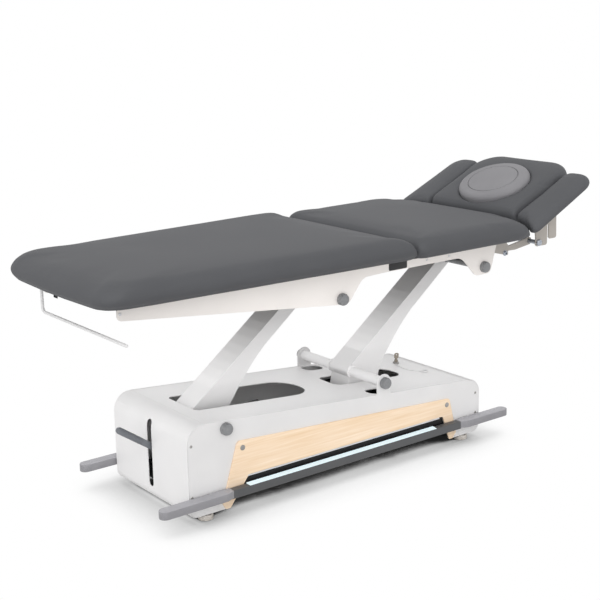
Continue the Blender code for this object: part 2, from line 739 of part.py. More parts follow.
for x, below in (
    (LEVER_PIVOT[0], RAIL_LOW + 0.003),
    (-LUG_X, WAIST_LOW - 0.010),
    (LUG_X, WAIST_LOW - 0.010),
    (HEAD_FACE - 0.065, RAIL_LOW + 0.003),
):
    low = (x - 0.013, -RAIL_IN - 0.01, below)
    welds.append(box(low, (x + 0.013, RAIL_IN + 0.01, RAIL_HIGH - 0.002)))
for x in CASTOR_X:
    for side in (-1, 1):
        low, high = ordered(RAIL_IN + 0.003, RAIL_OUT - 0.003, side)
        for way in (-1, 1):
            near = x + way * (BEAM_HALF + SLIDE_CLEARANCE)
            far = near + way * 0.012
            start = (min(near, far), low, RAIL_HIGH - 0.01)
            welds.append(box(start, (max(near, far), high, RAIL_HIGH + 0.065)))
holes = []
for side in (-1, 1):
    low, high = ordered(LEVER_BAR_WIDTH / 2 + 0.0015, LEVER_BAR_WIDTH / 2 + 0.0075, side)
    lug = rounded(
        [
            (LEVER_PIVOT[0] - 0.012, RAIL_HIGH - 0.02, 0),
            (LEVER_PIVOT[0] + 0.012, RAIL_HIGH - 0.02, 0),
            (LEVER_PIVOT[0] + 0.012, LEVER_PIVOT[1] + 0.013, 0.011),
            (LEVER_PIVOT[0] - 0.012, LEVER_PIVOT[1] + 0.013, 0.011),
        ]
    )
    welds.append(prism(lug, "Y", low, high))
    for x in (-LUG_X, LUG_X):
        lug = rounded(
            [
                (side * BAR_PIVOT_Y - 0.013, RAIL_HIGH - 0.02, 0),
                (side * BAR_PIVOT_Y + 0.013, RAIL_HIGH - 0.02, 0),
                (side * BAR_PIVOT_Y + 0.013, BAR_PIVOT_Z + 0.014, 0.012),
                (side * BAR_PIVOT_Y - 0.013, BAR_PIVOT_Z + 0.014, 0.012),
            ]
        )
        welds.append(prism(lug, "X", x - 0.006, x + 0.006))
    bar_bore = BAR_TUBE_RADIUS + BORE_CLEARANCE
    holes.append(disc("X", (side * BAR_PIVOT_Y, BAR_PIVOT_Z), bar_bore, -LUG_X - 0.02, LUG_X + 0.02))
holes.append(disc("Y", LEVER_PIVOT, LEVER_PIN + BORE_CLEARANCE, -0.03, 0.03))
motor_seat = DRIVE_Z - 0.042 - SEAT_GAP
welds.append(box((-LUG_X - 0.012, -0.03, RAIL_HIGH - 0.01), (-LUG_X + 0.012, 0.03, motor_seat - 0.006)))
welds.append(box((MOTOR_X - 0.085, -0.04, motor_seat - 0.010), (MOTOR_X + 0.005, 0.04, motor_seat)))
finish(cut(join(chassis, *welds), *holes), "chassis", DARK)

# Levelling feet
for x, end in ((FOOT_FACE + 0.074, "foot"), (HEAD_FACE - 0.070, "head")):
    for side, word in ((-1, "front"), (1, "back")):
        centre = (x, side * (RAIL_IN + RAIL_WIDTH / 2))
        pad = disc("Z", centre, FOOT_RADIUS, 0, 0.010)
        cone = disc("Z", centre, FOOT_RADIUS * 0.72, 0.008, 0.016)
        stem = disc("Z", centre, 0.010, 0.014, RAIL_LOW - SEAT_GAP)
        finish(join(pad, cone, stem), "foot_" + end + "_" + word, PALE)

# Castor lift: lever, two sliding beams and four wheels
lever_way = (-math.cos(LEVER_ANGLE), math.sin(LEVER_ANGLE))


def on_lever(along, across):
    """A point along and across the castor lever, from its pivot."""
    x = LEVER_PIVOT[0] + along * lever_way[0] + across * lever_way[1]
    return (x, LEVER_PIVOT[1] + along * lever_way[1] - across * lever_way[0])


bar_edge = LEVER_BAR_DEPTH / 2
bar_corners = [
    (-bar_edge, -bar_edge, bar_edge * 0.9),
    (LEVER_BAR_LENGTH, -bar_edge, 0.004),
    (LEVER_BAR_LENGTH, bar_edge, 0.004),
    (-bar_edge, bar_edge, bar_edge * 0.9),
]
bar_outline = [on_lever(a, b) for a, b in rounded(bar_corners)]
lever = prism(bar_outline, "Y", -LEVER_BAR_WIDTH / 2, LEVER_BAR_WIDTH / 2)
grip_start = on_lever(LEVER_BAR_LENGTH - 0.012, 0)
grip_end = on_lever(LEVER_BAR_LENGTH + GRIP_LENGTH - 0.006, 0)
grip_tip = on_lever(LEVER_BAR_LENGTH + GRIP_LENGTH, 0)
grip = rod_between((grip_start[0], 0, grip_start[1]), (grip_end[0], 0, grip_end[1]), GRIP_RADIUS)
tip_start = on_lever(LEVER_BAR_LENGTH + GRIP_LENGTH - 0.020, 0)
tip = rod_between((tip_start[0], 0, tip_start[1]), (grip_tip[0], 0, grip_tip[1]), GRIP_RADIUS * 0.72)
pin_half = LEVER_BAR_WIDTH / 2 + 0.009
pin = disc("Y", LEVER_PIVOT, LEVER_PIN, -pin_half, pin_half, 16)
finish(join(lever, grip, tip, pin), "castor_lever", DARK, (LEVER_PIVOT[0], 0, LEVER_PIVOT[1]))

WHEEL_Z = CASTOR_FLOOR_GAP + CASTOR_RADIUS
BEAM_LOW = WHEEL_Z + CASTOR_RADIUS + 0.018
BEAM_HIGH = BEAM_LOW + 0.018
for x, end in zip(CASTOR_X, ("foot", "head")):
    beam = box((x - BEAM_HALF, -RAIL_OUT + 0.004, BEAM_LOW), (x + BEAM_HALF, RAIL_OUT - 0.004, BEAM_HIGH))
    forks = []
    bores = []
    for side, word in ((-1, "front"), (1, "back")):
        track = side * CASTOR_HALF_TRACK
        for way in (-1, 1):
            inner = track + way * (CASTOR_WIDTH / 2 + 0.002)
            outer = inner + way * 0.004
            cheek = rounded(
                [
                    (x - 0.012, WHEEL_Z - 0.012, 0.010),
                    (x + 0.012, WHEEL_Z - 0.012, 0.010),
                    (x + 0.012, BEAM_LOW + 0.004, 0),
                    (x - 0.012, BEAM_LOW + 0.004, 0),
                ],
                3,
            )
            forks.append(prism(cheek, "Y", min(inner, outer), max(inner, outer)))
        bores.append(disc("Y", (x, WHEEL_Z), 0.004 + BORE_CLEARANCE, track - 0.03, track + 0.03, 16))
        half = CASTOR_WIDTH / 2
        wheel = disc("Y", (x, WHEEL_Z), CASTOR_RADIUS, track - half, track + half)
        stub = disc("Y", (x, WHEEL_Z), 0.004, track - half - 0.007, track + half + 0.007, 16)
        finish(join(wheel, stub), "castor_wheel_" + end + "_" + word, RUBBER, (x, track, WHEEL_Z))
    finish(cut(join(beam, *forks), *bores), "castor_beam_" + end, DARK, (x, 0, BEAM_LOW))

# Wood panels
def panel_top(x):
    """Height of the panel's upper edge."""
    return PANEL_TOP - (x - panel_foot) * PANEL_SLOPE


panel_outline = rounded(
    [
        (panel_foot - 0.061, 0.043, 0.008),
        (panel_foot - 0.050, BASE_BOTTOM + 0.001, 0.006),
        (panel_foot - 0.033, BASE_BOTTOM + 0.001, 0.004),
        (panel_foot + 0.041, PANEL_NOTCH, 0.012),
        (panel_head - 0.032, PANEL_NOTCH, 0.012),
        (panel_head + 0.002, BASE_BOTTOM + 0.001, 0.004),
        (panel_head + 0.018, BASE_BOTTOM + 0.001, 0.006),
        (panel_head + 0.035, 0.043, 0.008),
        (panel_head, panel_top(panel_head), 0.014),
        (panel_foot, panel_top(panel_foot), 0.014),
    ]
)
PANEL_IN = SIDE_OUT + SEAT_GAP
PANEL_OUT = PANEL_IN + PANEL_THICKNESS
for side, word in ((-1, "front"), (1, "back")):
    low, high = ordered(PANEL_IN, PANEL_OUT, side)
    finish(prism(panel_outline, "Y", low, high), "wood_panel_" + word, WOOD)

# Switch bars along both sides, each on a carrier that turns in the chassis
BAR_IN = PANEL_OUT + BAR_STANDOFF
BAR_OUT = BAR_IN + BAR_DEPTH
BAR_LOW = BAR_TOP - BAR_HEIGHT
BAR_FOOT = FOOT_FACE - BAR_FOOT_OVERHANG
PEDAL_IN = BAR_IN - 0.0004
PEDAL_OUT = PEDAL_IN + PEDAL_DEPTH
PEDAL_FOOT_END = BAR_FOOT + PEDAL_FOOT_LENGTH
PEDAL_HEAD_END = BAR_FOOT + BAR_LENGTH - PEDAL_HEAD_LENGTH
for side, word in ((-1, "front"), (1, "back")):
    low, high = ordered(BAR_IN, BAR_OUT, side)
    corners = [(low, BAR_LOW), (high, BAR_LOW), (high, BAR_TOP), (low, BAR_TOP)]
    section = rounded([(y, z, 0.0035) for y, z in corners], 2)
    bar = prism(section, "X", PEDAL_FOOT_END - 0.004, PEDAL_HEAD_END + 0.004)
    pedals = []
    for tip, end, way in ((BAR_FOOT, PEDAL_FOOT_END, 1), (BAR_FOOT + BAR_LENGTH, PEDAL_HEAD_END, -1)):
        plan = rounded(
            [
                (tip, PEDAL_IN, 0.0195),
                (end, PEDAL_IN, 0),
                (end, BAR_OUT + 0.0006, 0),
                (end - way * PEDAL_TAPER, PEDAL_OUT, 0),
                (tip, PEDAL_OUT, 0.0195),
            ]
        )
        plan = [(x, side * y) for x, y in plan]
        pedals.append(prism(plan, "Z", PEDAL_TOP - PEDAL_HEIGHT, PEDAL_TOP))
    bar = join(bar, *pedals)
    pivot = (0, side * BAR_PIVOT_Y, BAR_PIVOT_Z)
    finish(bar, "switch_bar_" + word, DARK, pivot)
    at = (side * BAR_PIVOT_Y, BAR_PIVOT_Z)
    carrier = disc("X", at, BAR_TUBE_RADIUS, -LUG_X - 0.03, LUG_X + 0.03)
    low, high = ordered(BAR_PIVOT_Y, BAR_IN - SEAT_GAP, side)
    arms = []
    for x in (-0.190, 0.190):
        arms.append(box((x - 0.02, low, BAR_PIVOT_Z - 0.007), (x + 0.02, high, BAR_PIVOT_Z + 0.007)))
    finish(join(carrier, *arms), "switch_carrier_" + word, DARK, pivot)

# Control box on the inside of the back side plate
box_out = SIDE_IN - SEAT_GAP
finish(box((0.250, box_out - 0.085, 0.115), (0.420, box_out, 0.185)), "control_box", BLACK)

# Table frame: side plates, cross members, upper axles
U = UPPER_FOOT
H = (UPPER_HEAD[0] - U[0], UPPER_HEAD[1] - U[1])
leg_axis = (LEG_AXIS[0] - U[0], LEG_AXIS[1] - U[1])
frame_corners = [
    (-FRAME_FOOT_REACH, FRAME_TOP, 0.004),
    (-FRAME_FOOT_REACH, 0.068, 0.015),
    (0.030, -0.0225, 0.034),
    (0.092, STRIP_BOTTOM - 0.003, 0.045),
    (0.180, STRIP_BOTTOM, 0.200),
    (H[0] - 0.110, STRIP_BOTTOM, 0.060),
    (H[0] - 0.038, LOBE_BOTTOM, 0.030),
    (H[0] + 0.035, LOBE_BOTTOM, 0.026),
    (H[0] + 0.069, FRAME_TOP, 0.004),
]
frame_outline = rounded(frame_corners, 6)
frame_outline.append((leg_axis[0] + LEG_EYE, FRAME_TOP))
frame_outline += arc(leg_axis, LEG_EYE, 0, 180, 12)
frame_outline.append((leg_axis[0] - LEG_EYE, FRAME_TOP))
frame_world = [(U[0] + x, U[1] + z) for x, z in frame_outline]
for side, word in ((-1, "front"), (1, "back")):
    low, high = ordered(FRAME_IN, FRAME_OUT, side)
    plate = prism(frame_world, "Y", low, high)
    bores = []
    for pivot in (UPPER_FOOT, UPPER_HEAD):
        bores.append(disc("Y", pivot, AXLE_RADIUS + BORE_CLEARANCE / 2, low - 0.01, high + 0.01))
    bores.append(disc("Y", LEG_AXIS, LEG_PIN_RADIUS + BORE_CLEARANCE, low - 0.01, high + 0.01, 16))
    finish(cut(plate, *bores), "frame_plate_" + word, WHITE, (U[0], 0, U[1]))

CROSS_HALF = FRAME_IN - SEAT_GAP
cross_spans = {
    "frame_cross_foot": (0.062 - FRAME_FOOT_REACH, 0.090 - FRAME_FOOT_REACH, 0.0754, FRAME_TOP - SEAT_GAP),
    "frame_cross_seam": (0.100, 0.128, STRIP_BOTTOM + 0.004, STRIP_BOTTOM + 0.032),
    "frame_cross_head": (H[0] - 0.032, H[0] + 0.008, 0.0734, FRAME_TOP - SEAT_GAP),
}
GAS_FRAME = (HINGE[0] + GAS_PIVOT_X, HINGE[1] + GAS_PIVOT_Z)
GAS_PIN = 0.0045
GAS_EYE_HALF = 0.0045
for name, (x0, x1, z0, z1) in cross_spans.items():
    low = (U[0] + x0, -CROSS_HALF, U[1] + z0)
    member = box(low, (U[0] + x1, CROSS_HALF, U[1] + z1))
    if name == "frame_cross_head":
        lug = rounded(
            [
                (GAS_FRAME[0] - 0.011, GAS_FRAME[1] - 0.011, 0.010),
                (GAS_FRAME[0] + 0.011, GAS_FRAME[1] - 0.011, 0.010),
                (GAS_FRAME[0] + 0.011, U[1] + z0 + 0.006, 0),
                (GAS_FRAME[0] - 0.011, U[1] + z0 + 0.006, 0),
            ]
        )
        lug_high = GAS_Y - GAS_EYE_HALF - 0.001
        plate = prism(lug, "Y", lug_high - 0.006, lug_high)
        stub = disc("Y", GAS_FRAME, GAS_PIN, lug_high - 0.004, GAS_Y + GAS_EYE_HALF + 0.002, 16)
        member = join(member, plate, stub)
    finish(member, name, DARK, (U[0], 0, U[1]))

for pivot, word in ((UPPER_FOOT, "foot"), (UPPER_HEAD, "head")):
    cap_in = FRAME_OUT + SEAT_GAP
    axle = disc("Y", pivot, AXLE_RADIUS, -cap_in - 0.004, cap_in + 0.004)
    caps = []
    for side in (-1, 1):
        low, high = ordered(cap_in, cap_in + CAP_DEPTH * 0.75, side)
        caps.append(disc("Y", pivot, CAP_RADIUS, low, high))
        low, high = ordered(cap_in + CAP_DEPTH * 0.65, cap_in + CAP_DEPTH * 0.95, side)
        caps.append(disc("Y", pivot, CAP_RADIUS * 0.86, low, high))
    finish(join(axle, *caps), "upper_axle_" + word, GREY, (pivot[0], 0, pivot[1]))

# Mid section on the frame
mid_start = LEG_SEAM + SEAM_GAP
board_plan = rounded(
    [
        (U[0] + mid_start + 0.022, -PAD_HALF_WIDTH + 0.085, 0.03),
        (U[0] + MID_HEAD_END - MID_NOSE, -PAD_HALF_WIDTH + 0.085, 0.03),
        (U[0] + MID_HEAD_END - MID_NOSE, PAD_HALF_WIDTH - 0.085, 0.03),
        (U[0] + mid_start + 0.022, PAD_HALF_WIDTH - 0.085, 0.03),
    ]
)
mid_board = prism(board_plan, "Z", U[1] + BOARD_LOW, U[1] + BOARD_HIGH)
finish(mid_board, "mid_board", BOARD, (U[0], 0, U[1]))


mid_plan = rounded(
    [
        (U[0] + mid_start, -PAD_HALF_WIDTH, 0.035),
        (U[0] + MID_HEAD_END, -PAD_HALF_WIDTH, 0.145),
        (U[0] + MID_HEAD_END, PAD_HALF_WIDTH, 0.145),
        (U[0] + mid_start, PAD_HALF_WIDTH, 0.035),
    ],
    8,
)
mid_pad = cushion(
    spread(mid_plan, 60),
    U[1] + PAD_LOW,
    U[1] + MID_HIGH,
    PAD_CROWN,
    SEAM_EDGE,
    MID_NOSE_EDGE,
    MID_SIDE_EDGE,
    MID_SIDE_EDGE,
)
finish(mid_pad, "mid_cushion", VINYL, (U[0], 0, U[1]))

# Head hinge: arms on the frame plates and one shaft through all hinge eyes
ARM_OUT = FRAME_IN - SEAT_GAP
hinge_corners = [
    (-0.213, 0.026, 0.004),
    (-0.213, -0.012, 0.006),
    (-0.180, -0.021, 0.010),
    (-0.106, -0.0405, 0.006),
    (-0.110, -0.0225, 0.003),
    (-0.072, -0.0235, 0.006),
]
hinge_corners += [(x, z, 0) for x, z in arc((0, 0), HINGE_EYE, -90, 90, 12)]
hinge_corners += [
    (-0.030, 0.0075, 0.010),
    (-0.106, -0.0050, 0.004),
    (-0.119, 0.009, 0.004),
    (-0.119, 0.026, 0.006),
]
hinge_world = [(HINGE[0] + x, HINGE[1] + z) for x, z in rounded(hinge_corners, 2)]
for side, word in ((-1, "front"), (1, "back")):
    low, high = ordered(ARM_OUT - FRAME_SHEET, ARM_OUT, side)
    plate = prism(hinge_world, "Y", low, high)
    bore = disc("Y", HINGE, HINGE_RADIUS + BORE_CLEARANCE / 2, low - 0.01, high + 0.01)
    finish(cut(plate, bore), "head_hinge_arm_" + word, WHITE, (U[0], 0, U[1]))

BRACKET_IN = ARMREST_IN + 0.0395
BRACKET_OUT = BRACKET_IN + 0.006
shaft = disc("Y", HINGE, HINGE_RADIUS, -BRACKET_OUT - 0.004, BRACKET_OUT + 0.004)
heads = []
for side in (-1, 1):
    low, high = ordered(BRACKET_OUT + 0.001, BRACKET_OUT + 0.009, side)
    heads.append(disc("Y", HINGE, HINGE_RADIUS * 1.5, low, high, 18))
finish(join(shaft, *heads), "head_hinge_shaft", STEEL, (HINGE[0], 0, HINGE[1]))

# Leg section: frame with hinge lugs, cushion and paper roll holder
LEG_ORIGIN = (LEG_AXIS[0], 0, LEG_AXIS[1])
leg_foot = U[0] - LEG_FOOT_REACH
plate_plan = rounded(
    [
        (leg_foot + 0.115, -LEG_FOOT_HALF_WIDTH + 0.090, 0.015),
        (LEG_AXIS[0] - 0.032, -PAD_HALF_WIDTH + 0.087, 0.01),
        (LEG_AXIS[0] - 0.032, PAD_HALF_WIDTH - 0.087, 0.01),
        (leg_foot + 0.115, LEG_FOOT_HALF_WIDTH - 0.090, 0.015),
    ],
    3,
)
leg_frame = prism(plate_plan, "Z", U[1] + BOARD_LOW, U[1] + BOARD_HIGH)
lugs = []
lug_outline = [
    (LEG_AXIS[0] - 0.060, U[1] + BOARD_LOW + 0.002),
    (LEG_AXIS[0] - 0.034, U[1] + BOARD_LOW + 0.002),
]
lug_outline += arc(LEG_AXIS, LEG_EYE, -70, 100, 12)
lug_outline.append((LEG_AXIS[0] - 0.058, U[1] + BOARD_HIGH - 0.001))
LUG_OUT = FRAME_IN - 0.001
LUG_IN = LUG_OUT - FRAME_SHEET
for side in (-1, 1):
    low, high = ordered(LUG_IN, LUG_OUT, side)
    lugs.append(prism(lug_outline, "Y", low, high))
    low, high = ordered(LUG_OUT - 0.002, FRAME_OUT + 0.002, side)
    lugs.append(disc("Y", LEG_AXIS, LEG_PIN_RADIUS, low, high, 16))
finish(join(leg_frame, *lugs), "leg_frame", DARK, LEG_ORIGIN)

leg_seam = U[0] + LEG_SEAM
leg_plan = rounded(
    [
        (leg_foot - 0.004, 0, 3.0),
        (leg_foot + 0.013, -LEG_FOOT_HALF_WIDTH + 0.006, 0.125),
        (leg_foot + 0.165, -LEG_FOOT_HALF_WIDTH - 0.003, 1.0),
        (leg_seam - 0.150, -PAD_HALF_WIDTH, 0.5),
        (leg_seam, -PAD_HALF_WIDTH, 0.035),
        (leg_seam, PAD_HALF_WIDTH, 0.035),
        (leg_seam - 0.150, PAD_HALF_WIDTH, 0.5),
        (leg_foot + 0.165, LEG_FOOT_HALF_WIDTH + 0.003, 1.0),
        (leg_foot + 0.013, LEG_FOOT_HALF_WIDTH - 0.006, 0.125),
    ],
    8,
)
leg_pad = cushion(
    spread(leg_plan, 72),
    U[1] + PAD_LOW,
    U[1] + PAD_HIGH,
    PAD_CROWN,
    FOOT_EDGE,
    LEG_NOSE_EDGE,
    LEG_SIDE_EDGE,
    LEG_SIDE_EDGE,
)
# Two pockets over the frame plates, high enough to clear them when the leg section is raised
above_frame = LEG_AXIS[1] - U[1] - FRAME_TOP
swing_room = (LEG_NOSE * math.sin(LEG_RAISE) - above_frame + 0.002) / math.cos(LEG_RAISE)
pocket_top = LEG_AXIS[1] + max(LEG_EYE + 0.003, swing_room)
pockets = []
for side in (-1, 1):
    low, high = ordered(LUG_IN - 0.002, FRAME_OUT + 0.004, side)
    corner = (LEG_AXIS[0] - 0.064, low, U[1] + PAD_LOW - 0.01)
    pockets.append(box(corner, (leg_seam + 0.02, high, pocket_top)))
finish(cut(leg_pad, *pockets), "leg_cushion", VINYL, LEG_ORIGIN)

ROLL_X = leg_foot + 0.078
roll_top = U[1] + PAD_LOW - SEAT_GAP
roll_low = roll_top - ROLL_DROP
bend = 0.014
stem = disc("Z", (ROLL_X, ROLL_Y), ROLL_ROD_RADIUS, roll_low + bend, roll_top, 12)
collar = disc("Z", (ROLL_X, ROLL_Y), ROLL_ROD_RADIUS * 1.7, roll_top - 0.004, roll_top, 12)
rods = [collar]
elbow = arc((ROLL_Y - bend, roll_low + bend), bend, 0, -90, 3)
for (y0, z0), (y1, z1) in zip(elbow, elbow[1:]):
    overlap = Vector((0, y1 - y0, z1 - z0)).normalized() * 0.0012
    start = Vector((ROLL_X, y0, z0)) - overlap
    rods.append(rod_between(start, Vector((ROLL_X, y1, z1)) + overlap, ROLL_ROD_RADIUS, 12))
rods.append(disc("Y", (ROLL_X, roll_low), ROLL_ROD_RADIUS, ROLL_Y - ROLL_REACH, ROLL_Y - bend, 12))
finish(join(stem, *rods), "roll_holder", WHITE, LEG_ORIGIN)

# Head section: frame, ring-shaped cushion and the plug that fills its face opening
HEAD_END = HEAD_START + HEAD_LENGTH
LUG_HEAD_OUT = ARM_OUT - FRAME_SHEET - 0.006
head_plan = rounded(
    [
        (0.002, -LUG_HEAD_OUT, 0.004),
        (0.090, -LUG_HEAD_OUT, 0.03),
        (HEAD_END - 0.050, -HEAD_HALF_WIDTH + 0.060, 0.06),
        (HEAD_END - 0.050, HEAD_HALF_WIDTH - 0.060, 0.06),
        (0.090, LUG_HEAD_OUT, 0.03),
        (0.002, LUG_HEAD_OUT, 0.004),
    ]
)
head_frame = prism(head_plan, "Z", HEAD_PLATE_LOW, HEAD_PLATE_HIGH)


def oval(centre, half_length, half_width, count):
    """An oval outline in plan."""
    points = []
    for i in range(count):
        angle = 2 * math.pi * i / count
        points.append((centre + half_length * math.cos(angle), half_width * math.sin(angle)))
    return points


face_hole = oval(PLUG_X, PLUG_HALF_LENGTH - 0.025, PLUG_HALF_WIDTH - 0.030, 28)
head_frame = cut(head_frame, prism(face_hole, "Z", HEAD_PLATE_LOW - 0.01, HEAD_PLATE_HIGH + 0.01))
lug_outline = [(-HINGE_EYE, 0), (-HINGE_EYE, 0.020), (0.003, HEAD_PLATE_LOW + 0.003)]
lug_outline += [(0.060, HEAD_PLATE_LOW + 0.003), (HINGE_EYE, 0.010)]
lug_outline += arc((0, 0), HINGE_EYE, 0, -180, 12)[:-1]
lugs = []
for side in (-1, 1):
    low, high = ordered(LUG_HEAD_OUT - 0.006, LUG_HEAD_OUT, side)
    lugs.append(prism(lug_outline, "Y", low, high))
gas_lever = rounded(
    [
        (HINGE_RADIUS + 0.003, HEAD_PLATE_LOW + 0.003, 0),
        (HINGE_RADIUS + 0.003, GAS_LEVER_Z - 0.010, 0.008),
        (GAS_LEVER_X + 0.010, GAS_LEVER_Z - 0.010, 0.008),
        (GAS_LEVER_X + 0.022, HEAD_PLATE_LOW + 0.003, 0),
    ]
)
lever_high = GAS_Y - GAS_EYE_HALF - 0.001
lugs.append(prism(gas_lever, "Y", lever_high - 0.006, lever_high))
gas_at = (GAS_LEVER_X, GAS_LEVER_Z)
lugs.append(disc("Y", gas_at, 0.0035, lever_high - 0.004, GAS_Y + GAS_EYE_HALF + 0.002, 14))
head_bore = disc("Y", (0, 0), HINGE_RADIUS + BORE_CLEARANCE, -0.25, 0.25)
tilted(cut(join(head_frame, *lugs), head_bore), "head_frame", DARK)

head_outline = rounded(
    [
        (HEAD_START, -HEAD_HALF_WIDTH, 0.022),
        (HEAD_END, -HEAD_HALF_WIDTH, 0.100),
        (HEAD_END, HEAD_HALF_WIDTH, 0.100),
        (HEAD_START, HEAD_HALF_WIDTH, 0.022),
    ],
    8,
)
head_pad = cushion(
    spread(head_outline, 60),
    HEAD_PAD_LOW,
    HEAD_TOP,
    PAD_CROWN,
    (0.030, HEAD_FALL, 0.012),
    (0.050, HEAD_FALL, 0.025),
    (0.016, HEAD_FALL, 0.012),
    (0.016, HEAD_FALL, 0.012),
)
plug_hole = oval(PLUG_X, PLUG_HALF_LENGTH + PLUG_GAP, PLUG_HALF_WIDTH + PLUG_GAP, 40)
head_pad = cut(head_pad, prism(plug_hole, "Z", HEAD_PAD_LOW - 0.01, HEAD_TOP + 0.03))
tilted(head_pad, "head_cushion", VINYL)
plug = cushion(
    oval(PLUG_X, PLUG_HALF_LENGTH, PLUG_HALF_WIDTH, 40),
    HEAD_PAD_LOW,
    HEAD_TOP + PLUG_PROUD,
    PLUG_CROWN,
    PLUG_EDGE,
    PLUG_EDGE,
    PLUG_EDGE,
    PLUG_EDGE,
)
tilted(plug, "face_plug", PALE_VINYL)


# Gas spring between the frame and the head section
def from_flat(x, z):
    """Where a point of the flat head section lies once the head is raised."""
    across = x * math.cos(HEAD_TILT) - z * math.sin(HEAD_TILT)
    return (HINGE[0] + across, HINGE[1] + x * math.sin(HEAD_TILT) + z * math.cos(HEAD_TILT))


GAS_END = from_flat(GAS_LEVER_X, GAS_LEVER_Z)
gas_start = Vector((GAS_FRAME[0], GAS_Y, GAS_FRAME[1]))
gas_end = Vector((GAS_END[0], GAS_Y, GAS_END[1]))
gas_way = (gas_end - gas_start).normalized()
gas_span = (gas_end - gas_start).length
eye_low, eye_high = GAS_Y - GAS_EYE_HALF, GAS_Y + GAS_EYE_HALF
tube = rod_between(gas_start + gas_way * 0.016, gas_start + gas_way * gas_span * 0.58, GAS_RADIUS)
neck = rod_between(gas_start + gas_way * 0.007, gas_start + gas_way * 0.021, 0.004, 14)
eye = disc("Y", GAS_FRAME, 0.010, eye_low, eye_high)
pin_hole = disc("Y", GAS_FRAME, GAS_PIN + BORE_CLEARANCE, eye_low - 0.02, eye_high + 0.02, 16)
bore = rod_between(
    gas_start + gas_way * 0.026, gas_start + gas_way * gas_span * 0.70, GAS_ROD_RADIUS + BORE_CLEARANCE
)
tube = cut(join(tube, neck, eye), pin_hole, bore)
finish(tube, "gas_spring_cylinder", BLACK, tuple(gas_start))
GAS_HOLE = 0.0095
rod = rod_between(
    gas_start + gas_way * gas_span * 0.30, gas_end - gas_way * (GAS_HOLE + 0.001), GAS_ROD_RADIUS
)
eye = disc("Y", GAS_END, GAS_HOLE + 0.004, eye_low, eye_high)
eye_hole = disc("Y", GAS_END, GAS_HOLE, eye_low - 0.02, eye_high + 0.02)
finish(cut(join(rod, eye), eye_hole), "gas_spring_rod", STEEL, tuple(gas_end))

# Armrests beside the head cushion, hung from the same hinge shaft
bracket_top = ARMREST_PLATE_LOW + 0.001


def to_flat(x, z):
    """A point given as the head stands raised, turned back to the flat position."""
    across = x * math.cos(HEAD_TILT) + z * math.sin(HEAD_TILT)
    return (across, -x * math.sin(HEAD_TILT) + z * math.cos(HEAD_TILT))


lug_edge = [to_flat(-0.013, 0.020), to_flat(-0.013, -0.008), to_flat(-0.006, -0.014)]
lug_edge += [to_flat(0.042, -0.014), to_flat(0.048, -0.008), to_flat(0.048, 0.060)]
lug_edge += [to_flat(0.056, 0.060), to_flat(0.056, 0.012), to_flat(0.062, 0.006)]
lug_edge += [to_flat(0.092, 0.006), to_flat(0.098, 0.012)]
lug_edge += [(0.142, bracket_top), (0.016, bracket_top)]
armrest_end = HEAD_START + ARMREST_LENGTH
for side, word in ((-1, "front"), (1, "back")):
    low, high = ordered(BRACKET_IN, BRACKET_OUT, side)
    hanger = prism(lug_edge, "Y", low, high)
    low, high = ordered(BRACKET_IN - 0.015, BRACKET_OUT + 0.030, side)
    tray = box((0.006, low, ARMREST_PLATE_LOW), (armrest_end - 0.075, high, ARMREST_LOW - SEAT_GAP))
    bore = disc("Y", (0, 0), HINGE_RADIUS + BORE_CLEARANCE, -0.4, 0.4)
    tilted(cut(join(tray, hanger), bore), "armrest_bracket_" + word, WHITE)
    plan = rounded(
        [
            (HEAD_START + 0.003, ARMREST_IN, 0.012),
            (HEAD_START - 0.09 * ARMREST_SLANT, ARMREST_IN + 0.28 * ARMREST_WIDTH, 0.05),
            (HEAD_START - 0.34 * ARMREST_SLANT, ARMREST_IN + 0.53 * ARMREST_WIDTH, 0.06),
            (HEAD_START - ARMREST_SLANT, ARMREST_OUT, 0.020),
            (armrest_end, ARMREST_OUT - ARMREST_TAPER, 0.105),
            (armrest_end, ARMREST_IN, 0.030),
        ],
        7,
    )
    plan = list(reversed(plan)) if side > 0 else mirrored(list(reversed(plan)))
    outer_edge = (0.036, ARMREST_FALL, 0.026)
    inner_edge = (0.015, ARMREST_FALL, 0.008)
    pad = cushion(
        spread(plan, 44),
        ARMREST_LOW,
        ARMREST_TOP,
        PAD_CROWN * 0.8,
        (0.030, ARMREST_FALL, 0.010),
        (0.040, ARMREST_FALL, 0.022),
        outer_edge if side < 0 else inner_edge,
        inner_edge if side < 0 else outer_edge,
    )
    tilted(pad, "armrest_cushion_" + word, VINYL)

# Key lock, key, tether and anchor on the top cover
flange = disc("Z", (0, 0), LOCK_RADIUS, SEAT_GAP, 0.006)
barrel = disc("Z", (0, 0), LOCK_BARREL, -0.028, 0.004)
lock = join(flange, barrel)
lock.data.transform(lock_frame)
finish(lock, "key_lock", GREY, KEY_AT)
collar = disc("Z", (0, 0), 0.007, 0.006 + SEAT_GAP, 0.014)
blade = box((-0.0045, -0.0014, 0.012), (0.0045, 0.0014, 0.022))
bow_outline = rounded(
    [
        (-0.009, 0.019, 0.004),
        (0.009, 0.019, 0.004),
        (0.0115, KEY_HEIGHT, 0.007),
        (-0.0115, KEY_HEIGHT, 0.007),
    ]
)
bow = prism(bow_outline, "Y", -0.0015, 0.0015)
bow_hole = disc("Y", (0, KEY_HEIGHT - 0.007), 0.003, -0.01, 0.01, 14)
key = cut(join(collar, blade, bow), bow_hole)
key.data.transform(lock_frame)
finish(key, "key", BLACK, KEY_AT)

